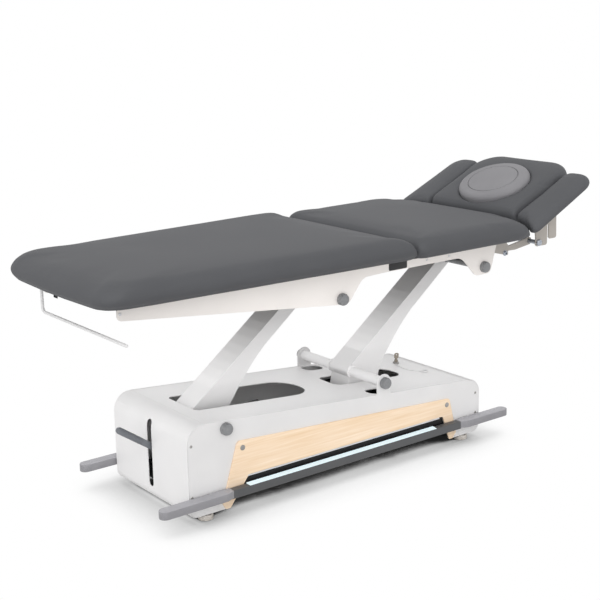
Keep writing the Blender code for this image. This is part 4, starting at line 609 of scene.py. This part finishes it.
def slab(plan, low, high, roll, steps=3):
    """A flat body with a rounded plan and rolled upper and lower edges."""
    middle = Vector((sum(x for x, _ in plan) / len(plan), sum(y for _, y in plan) / len(plan)))
    wide = [max(abs(p[k] - middle[k]) for p in plan) for k in (0, 1)]
    turns = [math.pi / 2 * k / steps for k in range(steps + 1)]
    levels = [(low + roll - roll * math.cos(turn), roll - roll * math.sin(turn)) for turn in turns]
    levels += [(low + high - z, inset) for z, inset in reversed(levels)]
    verts = []
    for z, inset in levels:
        for x, y in plan:
            verts.append(Vector((middle.x + (x - middle.x) * (1 - inset / wide[0]),
                                 middle.y + (y - middle.y) * (1 - inset / wide[1]), z)))
    return verts, skin(len(plan), len(levels))


for side, word in SIDES:
    body, node = "switch_" + word, "switch_bar_" + word
    near, far = side * BAR_NEAR, side * BAR_FAR
    section = rounded_plan([(near, BAR_LOW, 0.003), (far, BAR_LOW, 0.003), (far, BAR_HIGH, 0.003),
                            (near, BAR_HIGH, 0.003)], 4)
    bar = built(node + ".moulded", [bar_between(section, SLEEVE_FOOT - 0.004, SLEEVE_HEAD + 0.004)])
    fit(bar, body, "dark_plastic", bar_plastic, node)
    sleeves = []
    for tip, end, way in ((BAR_FOOT, SLEEVE_FOOT, 1), (BAR_HEAD, SLEEVE_HEAD, -1)):
        corners = [(tip, SLEEVE_NEAR, 0.0195), (end, SLEEVE_NEAR, 0.001), (end, BAR_FAR + 0.0006, 0.001),
                   (end - way * SLEEVE_TAPER, SLEEVE_FAR, 0.004), (tip, SLEEVE_FAR, 0.0195)]
        plan = [(x, side * y) for x, y in rounded_plan(corners, 10)]
        sleeves.append(slab(plan, SLEEVE_LOW, SLEEVE_HIGH, 0.0012))
    pedal_lit.objects.link(fit(built("bar_sleeves_" + word, sleeves), body, "dark_plastic", sleeve_plastic))
    section = [(side * y, z) for y, z in LINE_SECTION]
    line = built("painted_light_line_" + word, [bar_between(section, LINE_FOOT, LINE_HEAD)])
    fit(line, body, "dark_plastic", painted_light_glow)
    node = "switch_carrier_" + word
    refined(node, node + ".coated", body, "dark_coating", dark_coat, 0.001)

# Key switch: a bright metal lock set into the top, a cut metal key and the tether's white anchor button.
# The key stands upright in the lock while the table is in use.
lock_metal = surface("lock_metal", (150, 148, 146), (182, 180, 177), 200, (0.25, 0.4), 900, 0.0001, metal=0.8)
key_metal = surface("key_metal", (142, 132, 120), (172, 163, 152), 150, (0.30, 0.45), 700, 0.0002, metal=0.5)
refined("key_lock", "key_lock.turned", "base", "lock_metal", lock_metal, 0.0012, 3)
refined("key", "key.cut", "key", "black_plastic", key_metal, 0.0006)
refined("tether_anchor", "tether_anchor.moulded", "base", "white_cord", cord_plastic, 0.0012, 3)

# Lift arms: two welded steel channels, wide at the base and slim at the top, coated white.
# The table frame hangs between their upper ends and stays level as they swing.
for end, body in (("foot", "foot_arm"), ("head", "head_arm")):
    arm = refined("lift_arm_" + end, f"lift_arm_{end}.painted", body, "white_paint", white_powder, 0.0020, 3)
    panel_lit.objects.link(arm)
    side_dark.objects.link(arm)
    side_dark.collection_objects[-1].light_linking.link_state = "EXCLUDE"

# Table frame: two cut side plates in warm white, tied by dark cross members and two axles.
# Their outline dips into round lobes where the axles pass.
warm_powder = surface("warm_powder", (234, 229, 225), (239, 234, 230), 6, (0.36, 0.44), 1400, 0.00012)
for word in ("front", "back"):
    node = "frame_plate_" + word
    plate = refined(node, node + ".painted", "table_frame", "white_paint", warm_powder, 0.0012)
    front_lit.objects.link(plate)
for word in ("foot", "seam", "head"):
    node = "frame_cross_" + word
    refined(node, node + ".coated", "table_frame", "dark_coating", dark_coat, 0.0015)
capped_axle("upper_axle_foot", "table_frame")
capped_axle("upper_axle_head", "table_frame")

# Screws on the outer face of each frame plate, and a plain black data tag on the front one.
# The tag is a thin plastic plate, riveted flat and left bare.
FRAME_SCREWS = [(0.242, 0.7026), (0.347, 0.702)]
FRAME_BOLT = (-0.950, 0.715)
FRAME_FACE = 0.2346
pale_zinc = surface("pale_zinc", (226, 226, 228), (240, 240, 242), 90, (0.3, 0.4), 700, 0.0001)
tag_plastic = surface("tag_plastic", (26, 26, 28), (36, 36, 38), 60, (0.35, 0.45), 700, 0.0002)
for side, word in SIDES:
    heads = [button_head((x, side * FRAME_FACE, z), (0, side, 0), 0.0042, 0.0018) for x, z in FRAME_SCREWS]
    bolt = (FRAME_BOLT[0], side * FRAME_FACE, FRAME_BOLT[1])
    heads.append(button_head(bolt, (0, side, 0), 0.0052, 0.0024))
    fit(built("frame_screws_" + word, heads), "table_frame", "steel", pale_zinc)
TAG_FOOT, TAG_HEAD, TAG_LOW, TAG_HIGH = 0.0686, 0.1496, 0.6895, 0.7321
tag_plan = rounded_plan([(TAG_FOOT, TAG_LOW, 0.005), (TAG_HEAD, TAG_LOW, 0.005), (TAG_HEAD, TAG_HIGH, 0.005),
                         (TAG_FOOT, TAG_HIGH, 0.005)], 5)
verts, faces = slab(tag_plan, FRAME_FACE, FRAME_FACE + 0.0016, 0.0006, 2)
tag = built("frame_tag", [([Vector((v.x, -v.z, v.y)) for v in verts], faces)])
fit(tag, "table_frame", "black_plastic", tag_plastic)

# Head hinge: two arms bolted inside the frame plates, white paint darkened grey as painted shade, and one
# steel shaft through all eyes.
# A bolt head with a washer shows on each arm's outer face.
# Painted shade: a grey copy of the white paint, for arms and brackets that lie in shadow under the cushions.
painted_shade_coat = surface("painted_shade_coat", (176, 170, 163), (186, 180, 173), 8, (0.38, 0.46), 1400, 0.00012)
blue_steel = surface("blue_steel", (150, 156, 166), (190, 195, 203), 90, (0.22, 0.34), 700, 0.0001, metal=0.8)
for word in ("front", "back"):
    node = "head_hinge_arm_" + word
    refined(node, node + ".painted", "table_frame", "white_paint", painted_shade_coat, 0.0012)
low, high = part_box("head_hinge_shaft")
shaft_half = (high.y - low.y) / 2
end = [(shaft_half - 0.0080, 0.0080), (shaft_half - 0.0080, 0.0112), (shaft_half - 0.0072, 0.0120),
       (shaft_half - 0.0022, 0.0118), (shaft_half - 0.0006, 0.0104), (shaft_half, 0.0076), (shaft_half, 0.0)]
profile = [(-height, radius) for height, radius in reversed(end)] + end
shaft = built("head_hinge_shaft.turned", [turned(profile, (low + high) / 2, (0, 1, 0), 36)])
fit(shaft, "table_frame", "steel", blue_steel, "head_hinge_shaft")
HINGE_BOLT, HINGE_FACE = (0.635, 0.671), 0.2283
for side, word in SIDES:
    face = side * HINGE_FACE
    washer = turned([(0, 0.0), (0, 0.0104), (0.0012, 0.0104), (0.0016, 0.0098), (0.0016, 0.0)],
                    (HINGE_BOLT[0], face, HINGE_BOLT[1]), (0, side, 0), 28)
    head = button_head((HINGE_BOLT[0], face + side * 0.0016, HINGE_BOLT[1]), (0, side, 0), 0.0088, 0.0046)
    fit(built("hinge_bolt_" + word, [washer, head]), "table_frame", "steel", blue_steel)

# Gas spring: a black cylinder with a ground steel rod that holds the head section where it is set.
# It hangs between the frame's head cross member and a lever of the head frame.
refined("gas_spring_cylinder", "gas_spring_cylinder.painted", "gas_cylinder", "black_plastic",
        black_plastic, 0.0008)
refined("gas_spring_rod", "gas_spring_rod.ground", "gas_rod", "steel", plain_steel, 0.0006)

# Boards: birch plywood stained black, screwed under the mid and the leg cushion.
# The leg board carries the hinge lugs that the frame plates hold.
stained_ply = surface("stained_ply", (44, 42, 40), (60, 57, 54), 14, (0.55, 0.7), 240, 0.0004,
                      stretch=(1, 9, 9))
refined("mid_board", "mid_board.stained", "table_frame", "plywood", stained_ply, 0.0010)
refined("leg_frame", "leg_frame.stained", "leg_section", "plywood", stained_ply, 0.0010)

# Cushions: firm foam on boards under grey artificial leather, drawn tight round rolled edges.
# Each cover is blown up a little by its foam, so the top is crowned and the edges stay full.
vinyl = surface("grey_leatherette", (82, 83, 86), (88, 89, 92), 5, (0.58, 0.66), 620, 0.00025, cells=True)
pale_vinyl = surface("pale_leatherette", (133, 132, 135), (141, 140, 143), 6, (0.52, 0.60), 620, 0.00025,
                     cells=True)
PAD_LOW, PAD_HIGH, PAD_CROWN = 0.740783, 0.824783, 0.005
for cover in (vinyl, pale_vinyl):
    set_shader(cover, "Specular IOR Level", 0.3)


def even(points, step):
    """A closed outline with its points set at even steps."""
    loop = np.array(points + [points[0]])
    run = np.concatenate([[0], np.cumsum(np.linalg.norm(np.diff(loop, axis=0), axis=1))])
    count = max(24, int(run[-1] / step))
    at = np.linspace(0, run[-1], count, endpoint=False)
    return np.stack([np.interp(at, run, loop[:, k]) for k in (0, 1)], axis=1)


def pad_form(plan, low, high, crown, foot, head, front, back, step):
    """An upholstered pad's points and faces: drawn-in base, rolled edge and crowned top.

    foot, head, front and back say how far in the top edge rolls, how far it falls, and how far the
    base is drawn in on each of the four sides."""
    line = even(plan, step)
    count = len(line)
    first, last = line.min(0), line.max(0)
    size = last - first
    way = np.roll(line, -1, axis=0) - np.roll(line, 1, axis=0)
    out = np.stack([way[:, 1], -way[:, 0]], axis=1)
    out /= np.linalg.norm(out, axis=1)[:, None]

    def drawn_in(part):
        shares = (size - np.array([foot[part] + head[part], front[part] + back[part]])) / size
        return first + np.array([foot[part], front[part]]) + (line - first) * shares

    share = np.clip((np.abs(out[:, 0]) - 0.25) / 0.6, 0, 1)
    share = share * share * (3 - 2 * share)
    end_fall = np.where(out[:, 0] > 0, head[1], foot[1])
    side_fall = np.where(out[:, 1] > 0, back[1], front[1])
    fall = side_fall + (end_fall - side_fall) * share
    base, top = drawn_in(2), drawn_in(0)
    rings = []
    hub = base.mean(0)
    for k in range(6):
        rings.append(np.column_stack([hub + (base - hub) * (0.02 + 0.98 * k / 6), np.full(count, low)]))
    for k in range(9):
        turn = math.pi / 2 * (1 - k / 8)
        inward = (base - line) * (1 - math.cos(turn))
        rings.append(np.column_stack([line + inward, low + (high - low - fall) * (1 - math.sin(turn))]))
    for k in range(1, 15):
        turn = math.pi / 2 * k / 14
        inward = (top - line) * (1 - math.cos(turn))
        rings.append(np.column_stack([line + inward, high - fall * (1 - math.sin(turn))]))
    rim_low, rim_high = top.min(0), top.max(0)
    reach = (rim_high - rim_low).min() * 0.42
    hub_x = np.clip(top[:, 0], rim_low[0] + reach, rim_high[0] - reach)
    hub_line = np.column_stack([hub_x, np.full(count, (rim_low[1] + rim_high[1]) / 2)])
    for k in range(1, 21):
        share = 0.985 * k / 20
        rise = crown * (1 - (1 - min(1.0, share / 0.62)) ** 2)
        rings.append(np.column_stack([top + (hub_line - top) * share, np.full(count, high + rise)]))
    return [Vector(p) for p in np.concatenate(rings)], skin(count, len(rings))


def points_of(mesh):
    """A mesh's points as rows of numbers."""
    flat = np.empty(len(mesh.vertices) * 3)
    mesh.vertices.foreach_get("co", flat)
    return flat.reshape(-1, 3)


def settle(piece):
    """Makes a piece's modifiers part of its mesh."""
    graph = bpy.context.evaluated_depsgraph_get()
    piece.data = bpy.data.meshes.new_from_object(piece.evaluated_get(graph))
    piece.modifiers.clear()


def carve(piece, solid):
    """Cuts a solid, given as points and faces, out of a piece."""
    cutter = built("cutter", [solid])
    cut = piece.modifiers.new("carve", "BOOLEAN")
    cut.operation = "DIFFERENCE"
    cut.solver = "EXACT"
    cut.object = cutter
    settle(piece)
    bpy.data.objects.remove(cutter)


def upholstered(name, form, voxel, swell, still):
    """A cover of even cells over a pad's form, blown up by its foam; still picks the points held fast."""
    piece = built(name, [form], 60)
    low, high = points_of(piece.data).min(0), points_of(piece.data).max(0)
    evened = piece.modifiers.new("cells", "REMESH")
    evened.mode = "VOXEL"
    evened.voxel_size = voxel
    settle(piece)
    rest = points_of(piece.data)
    held = piece.vertex_groups.new(name="held")
    held.add([int(i) for i in np.flatnonzero(still(rest))], 1.0, "REPLACE")
    cover = piece.modifiers.new("cover", "CLOTH")
    cloth = cover.settings
    cloth.quality = 4
    cloth.mass = 0.4
    cloth.tension_stiffness = cloth.compression_stiffness = 30
    cloth.shear_stiffness = 15
    cloth.bending_stiffness = 4
    cloth.use_pressure = True
    cloth.uniform_pressure_force = 4.0
    cloth.vertex_group_mass = "held"
    cloth.effector_weights.gravity = 0.0
    cover.point_cache.frame_start, cover.point_cache.frame_end = 1, 20
    for tick in range(1, 21):
        scene.frame_set(tick)
    graph = bpy.context.evaluated_depsgraph_get()
    shift = points_of(piece.evaluated_get(graph).data) - rest
    piece.modifiers.clear()
    scene.frame_set(1)
    reach = np.linalg.norm(shift, axis=1)[:, None]
    blown = rest + shift * np.minimum(1.0, swell / np.maximum(reach, 1e-9))
    piece.data.vertices.foreach_set("co", blown.ravel())
    piece.vertex_groups.clear()
    finer = piece.modifiers.new("finer", "SUBSURF")
    finer.levels = finer.render_levels = 1
    settle(piece)
    now = points_of(piece.data)
    now = low + (now - now.min(0)) * (high - low) / (now.max(0) - now.min(0))
    piece.data.vertices.foreach_set("co", now.ravel())
    piece.data.shade_smooth()
    piece.data.update()
    return piece


# Mid cushion: fixed on the table frame, its head end drawn down in a long roll.
# A narrow gap parts it from the leg cushion.
MID_FOOT, MID_HEAD, PAD_SIDE = 0.090944, 0.691944, 0.372
MID_HIGH = PAD_HIGH - 0.008
MID_SIDE = (0.034, 0.046, 0.042)
mid_plan = rounded_plan([(MID_FOOT, -PAD_SIDE, 0.035), (MID_HEAD, -PAD_SIDE, 0.145),
                         (MID_HEAD, PAD_SIDE, 0.145), (MID_FOOT, PAD_SIDE, 0.035)], 16)
mid_form = pad_form(mid_plan, PAD_LOW, MID_HIGH, PAD_CROWN, (0.034, 0.046, 0.018), (0.130, 0.070, 0.010),
                    MID_SIDE, MID_SIDE, 0.009)


def on_board(points):
    """The points of a flat pad that rest on its board."""
    return points[:, 2] < PAD_LOW + 0.006


mid_cover = upholstered("mid_cover", mid_form, 0.011, 0.006, on_board)
fit(mid_cover, "table_frame", "grey_vinyl", vinyl, "mid_cushion")

# Leg cushion: the long pad, narrower at the foot end, that turns up about a hinge by the mid cushion.
# Its inner end is a quarter roll round the hinge; two pockets under it clear the frame's hinge eyes.
LEG_FOOT, LEG_SEAM = -1.0548, 0.087944
LEG_SIDE = (0.034, 0.046, 0.066)
leg_plan = rounded_plan([
    (LEG_FOOT - 0.004, 0, 3.0), (LEG_FOOT + 0.013, -0.327, 0.150), (LEG_FOOT + 0.165, -0.336, 1.0),
    (LEG_SEAM - 0.158, -PAD_SIDE, 0.5), (LEG_SEAM, -PAD_SIDE, 0.035), (LEG_SEAM, PAD_SIDE, 0.035),
    (LEG_SEAM - 0.158, PAD_SIDE, 0.5), (LEG_FOOT + 0.165, 0.336, 1.0), (LEG_FOOT + 0.013, 0.327, 0.150)], 16)
leg_form = pad_form(leg_plan, PAD_LOW, PAD_HIGH, PAD_CROWN, (0.080, 0.054, 0.040), (0.082, 0.074, 0.012),
                    LEG_SIDE, LEG_SIDE, 0.010)
leg_cover = upholstered("leg_cover", leg_form, 0.012, 0.006, on_board)
HINGE_X, HINGE_Z = 0.005944, 0.750783
POCKET_NEAR, POCKET_FAR = 0.2195, 0.2388
POCKET_LOW, POCKET_HIGH = PAD_LOW - 0.02, HINGE_Z + 0.0246
for side, _ in SIDES:
    near, far = side * POCKET_NEAR, side * POCKET_FAR
    section = [(near, POCKET_LOW), (far, POCKET_LOW), (far, POCKET_HIGH), (near, POCKET_HIGH)]
    carve(leg_cover, bar_between(section, HINGE_X - 0.064, LEG_SEAM + 0.02))
leg_cover.data.shade_smooth()
leg_cover.data.set_sharp_from_angle(angle=math.radians(50))
fit(leg_cover, "leg_section", "grey_vinyl", vinyl, "leg_cushion")

# Care tag: a small black woven loop sewn under the foot end of the leg cushion, left bare.
# It hangs a finger's width below the cover.
tag_low, tag_high = 0.7255, 0.7412
tag_section = [(-1.0165, tag_high), (-1.0175, tag_low + 0.002), (-1.0168, tag_low),
               (-1.0158, tag_low + 0.002), (-1.0150, tag_high)]
verts = [Vector((x, y, z)) for y in (0.018, 0.042) for x, z in tag_section]
care_tag = built("care_tag", [(verts, skin(len(tag_section), 2))])
woven_black = surface("woven_black", (22, 22, 23), (34, 34, 35), 120, (0.75, 0.9), 900, 0.0004,
                      stretch=(1, 1, 3))
fit(care_tag, "leg_section", "black_plastic", woven_black)

# Paper roll holder: a white rod bent once, seated under the foot end of the leg cushion.
# Its long free part carries the roll across the table.
low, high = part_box("roll_holder")
ROD_RADIUS = 0.005
rod_x, rod_y = (low.x + high.x) / 2, high.y - 0.0085
rod_top, rod_low = high.z, low.z + ROD_RADIUS
BEND = 0.016
rod_path = [Vector((rod_x, rod_y, rod_top - 0.003)), Vector((rod_x, rod_y, rod_low + BEND))]
for k in range(1, 9):
    turn = math.radians(90 * k / 8)
    out, down = BEND * math.cos(turn), BEND * math.sin(turn)
    rod_path.append(Vector((rod_x, rod_y - BEND + out, rod_low + BEND - down)))
rod_path.append(Vector((rod_x, low.y + 0.004, rod_low)))


def rod_along(path, radius, sides=20):
    """A round rod bent along a path, with eased ends."""
    verts, stations = [], []
    side_way = Vector((1, 0, 0))
    for i, here in enumerate(path):
        way = (path[min(i + 1, len(path) - 1)] - path[max(i - 1, 0)]).normalized()
        stations.append((here, way, radius))
    start, way, _ = stations[0]
    stations.insert(0, (start - way * radius * 0.3, way, radius * 0.7))
    end, way, _ = stations[-1]
    stations.append((end + way * radius * 0.5, way, radius * 0.86))
    stations.append((end + way * radius * 0.8, way, radius * 0.5))
    for here, way, wide in stations:
        lift = way.cross(side_way).normalized()
        for i in range(sides):
            turn = 2 * math.pi * i / sides
            verts.append(here + (side_way * math.cos(turn) + lift * math.sin(turn)) * wide)
    return verts, skin(sides, len(stations))


collar = turned([(0, 0.0), (0, 0.0085), (-0.0030, 0.0085), (-0.0042, 0.0074), (-0.0042, 0.0)],
                (rod_x, rod_y, rod_top), (0, 0, 1), 28)
roll_holder = built("roll_holder.painted", [rod_along(rod_path, ROD_RADIUS), collar])
fit(roll_holder, "leg_section", "white_paint", white_powder, "roll_holder")

# Head section: a dark steel plate with hinge lugs under a cushion with an oval opening for the face.
# The cushion is modelled lying flat about the hinge and raised with it.
refined("head_frame", "head_frame.coated", "head_section", "dark_coating", dark_coat, 0.0012)
RAISED = Matrix.Translation((0.759944, 0, 0.699983)) @ Matrix.Rotation(math.radians(-25), 4, "Y")
HEAD_LOW, HEAD_HIGH = 0.0678, 0.1418
HEAD_FALL = 0.0407
PLUG_X, PLUG_LONG, PLUG_WIDE = 0.125, 0.127, 0.147
head_plan = rounded_plan([(-0.030, -0.2225, 0.022), (0.342, -0.2225, 0.100), (0.342, 0.2225, 0.100),
                          (-0.030, 0.2225, 0.022)], 16)
HEAD_SIDE = (0.016, HEAD_FALL, 0.012)
head_form = pad_form(head_plan, HEAD_LOW, HEAD_HIGH, PAD_CROWN, (0.030, HEAD_FALL, 0.012),
                     (0.050, HEAD_FALL, 0.025), HEAD_SIDE, HEAD_SIDE, 0.006)


def oval(long, wide, count):
    """An oval round the middle of the face opening."""
    return [(PLUG_X + long * math.cos(2 * math.pi * i / count), wide * math.sin(2 * math.pi * i / count))
            for i in range(count)]


def out_from_plug(points):
    """How far out points lie from the middle of the face opening, 1 being its rim."""
    return np.hypot((points[:, 0] - PLUG_X) / PLUG_LONG, points[:, 1] / PLUG_WIDE)


def head_held(points):
    """The points of the head cushion on its plate and round the face opening."""
    return (points[:, 2] < HEAD_LOW + 0.005) | (out_from_plug(points) < 1.07)


head_cover = upholstered("head_cover", head_form, 0.007, 0.004, head_held)
PLUG_GAP, RIM_ROLL = 0.0016, 0.0045
rim = oval(PLUG_LONG + PLUG_GAP, PLUG_WIDE + PLUG_GAP, 96)
core = [Vector((x, y, z)) for z in (HEAD_LOW - 0.02, HEAD_HIGH + 0.03) for x, y in rim]
carve(head_cover, (core, skin(len(rim), 2)))
points = points_of(head_cover.data)
near_rim = np.clip((1.09 - out_from_plug(points)) / 0.08, 0, 1) * (points[:, 2] > HEAD_HIGH - 0.012)
points[:, 2] -= RIM_ROLL * near_rim ** 2
head_cover.data.vertices.foreach_set("co", points.ravel())
head_cover.data.shade_smooth()
head_cover.data.set_sharp_from_angle(angle=math.radians(50))
head_cover.data.transform(RAISED)
fit(head_cover, "head_section", "grey_vinyl", vinyl, "head_cushion")

# Face plug: an oval pad in paler leatherette that lifts out of the opening.
# A sewn seam runs round its flat top inside the rolled rim.
PLUG_HIGH = 0.1638
SEAM_AT, SEAM_HALF, SEAM_DEPTH = 0.70, 0.010, 0.0042


def plug_profile():
    """(share of the oval, height) from the middle of the underside to the middle of the top."""
    made = [(0.02, HEAD_LOW), (0.5, HEAD_LOW), (0.955, HEAD_LOW), (0.972, HEAD_LOW + 0.001),
            (0.978, HEAD_LOW + 0.004), (0.985, HEAD_LOW + 0.02), (0.995, HEAD_LOW + 0.045),
            (1.0, PLUG_HIGH - 0.020)]
    for k in range(1, 13):
        turn = math.pi / 2 * k / 12
        made.append((1.0 - 0.16 * (1 - math.cos(turn)), PLUG_HIGH - 0.020 * (1 - math.sin(turn))))
    shares = [0.84 - 0.82 * k / 40 for k in range(1, 41)]
    shares += [SEAM_AT + SEAM_HALF * k / 2 for k in range(-5, 6)]
    for share in sorted(set(shares), reverse=True):
        rise = 0.005 * (1 - (share / 0.84) ** 2)
        dip = SEAM_DEPTH * math.exp(-((share - SEAM_AT) / SEAM_HALF) ** 2)
        made.append((share, PLUG_HIGH + rise - dip))
    return made


plug_rim = oval(PLUG_LONG, PLUG_WIDE, 120)
plug_rings = plug_profile()
plug_verts = [Vector((PLUG_X + (x - PLUG_X) * share, y * share, height))
              for share, height in plug_rings for x, y in plug_rim]
face_pad = built("face_pad", [(plug_verts, skin(len(plug_rim), len(plug_rings)))], 60)
face_pad.data.transform(RAISED)
fit(face_pad, "plug", "pale_vinyl", pale_vinyl, "face_plug")

# Armrests: two narrow pads beside the head cushion on white steel brackets, drawn grey as painted shade.
# Each bracket hangs on the head hinge's shaft, so the pad can drop below the head.
ARM_LOW, ARM_HIGH, ARM_FALL = 0.0888, 0.1378, 0.03136
ARM_CORNERS = [
    (-0.027, 0.2285, 0.012), (-0.0350, 0.2655, 0.05), (-0.0487, 0.2985, 0.06), (-0.085, 0.3605, 0.020),
    (0.290, 0.3465, 0.105), (0.290, 0.2285, 0.030),
]


def on_tray(points):
    """The points of an armrest pad that rest on its tray."""
    return points[:, 2] < ARM_LOW + 0.005


for side, word in SIDES:
    node = "armrest_bracket_" + word
    # The brackets take the grey painted-shade copy of the white paint.
    refined(node, node + ".painted", "armrest_" + word, "white_paint", painted_shade_coat, 0.0012)
    plan = rounded_plan(ARM_CORNERS, 14)
    plan = list(reversed(plan)) if side > 0 else [(x, -y) for x, y in plan]
    outer_edge, inner_edge = (0.036, ARM_FALL, 0.026), (0.015, ARM_FALL, 0.008)
    form = pad_form(plan, ARM_LOW, ARM_HIGH, 0.004, (0.030, ARM_FALL, 0.010), (0.040, ARM_FALL, 0.022),
                    outer_edge if side < 0 else inner_edge, inner_edge if side < 0 else outer_edge, 0.005)
    cover = upholstered("armrest_cover_" + word, form, 0.006, 0.004, on_tray)
    cover.data.transform(RAISED)
    fit(cover, "armrest_" + word, "grey_vinyl", vinyl, "armrest_cushion_" + word)
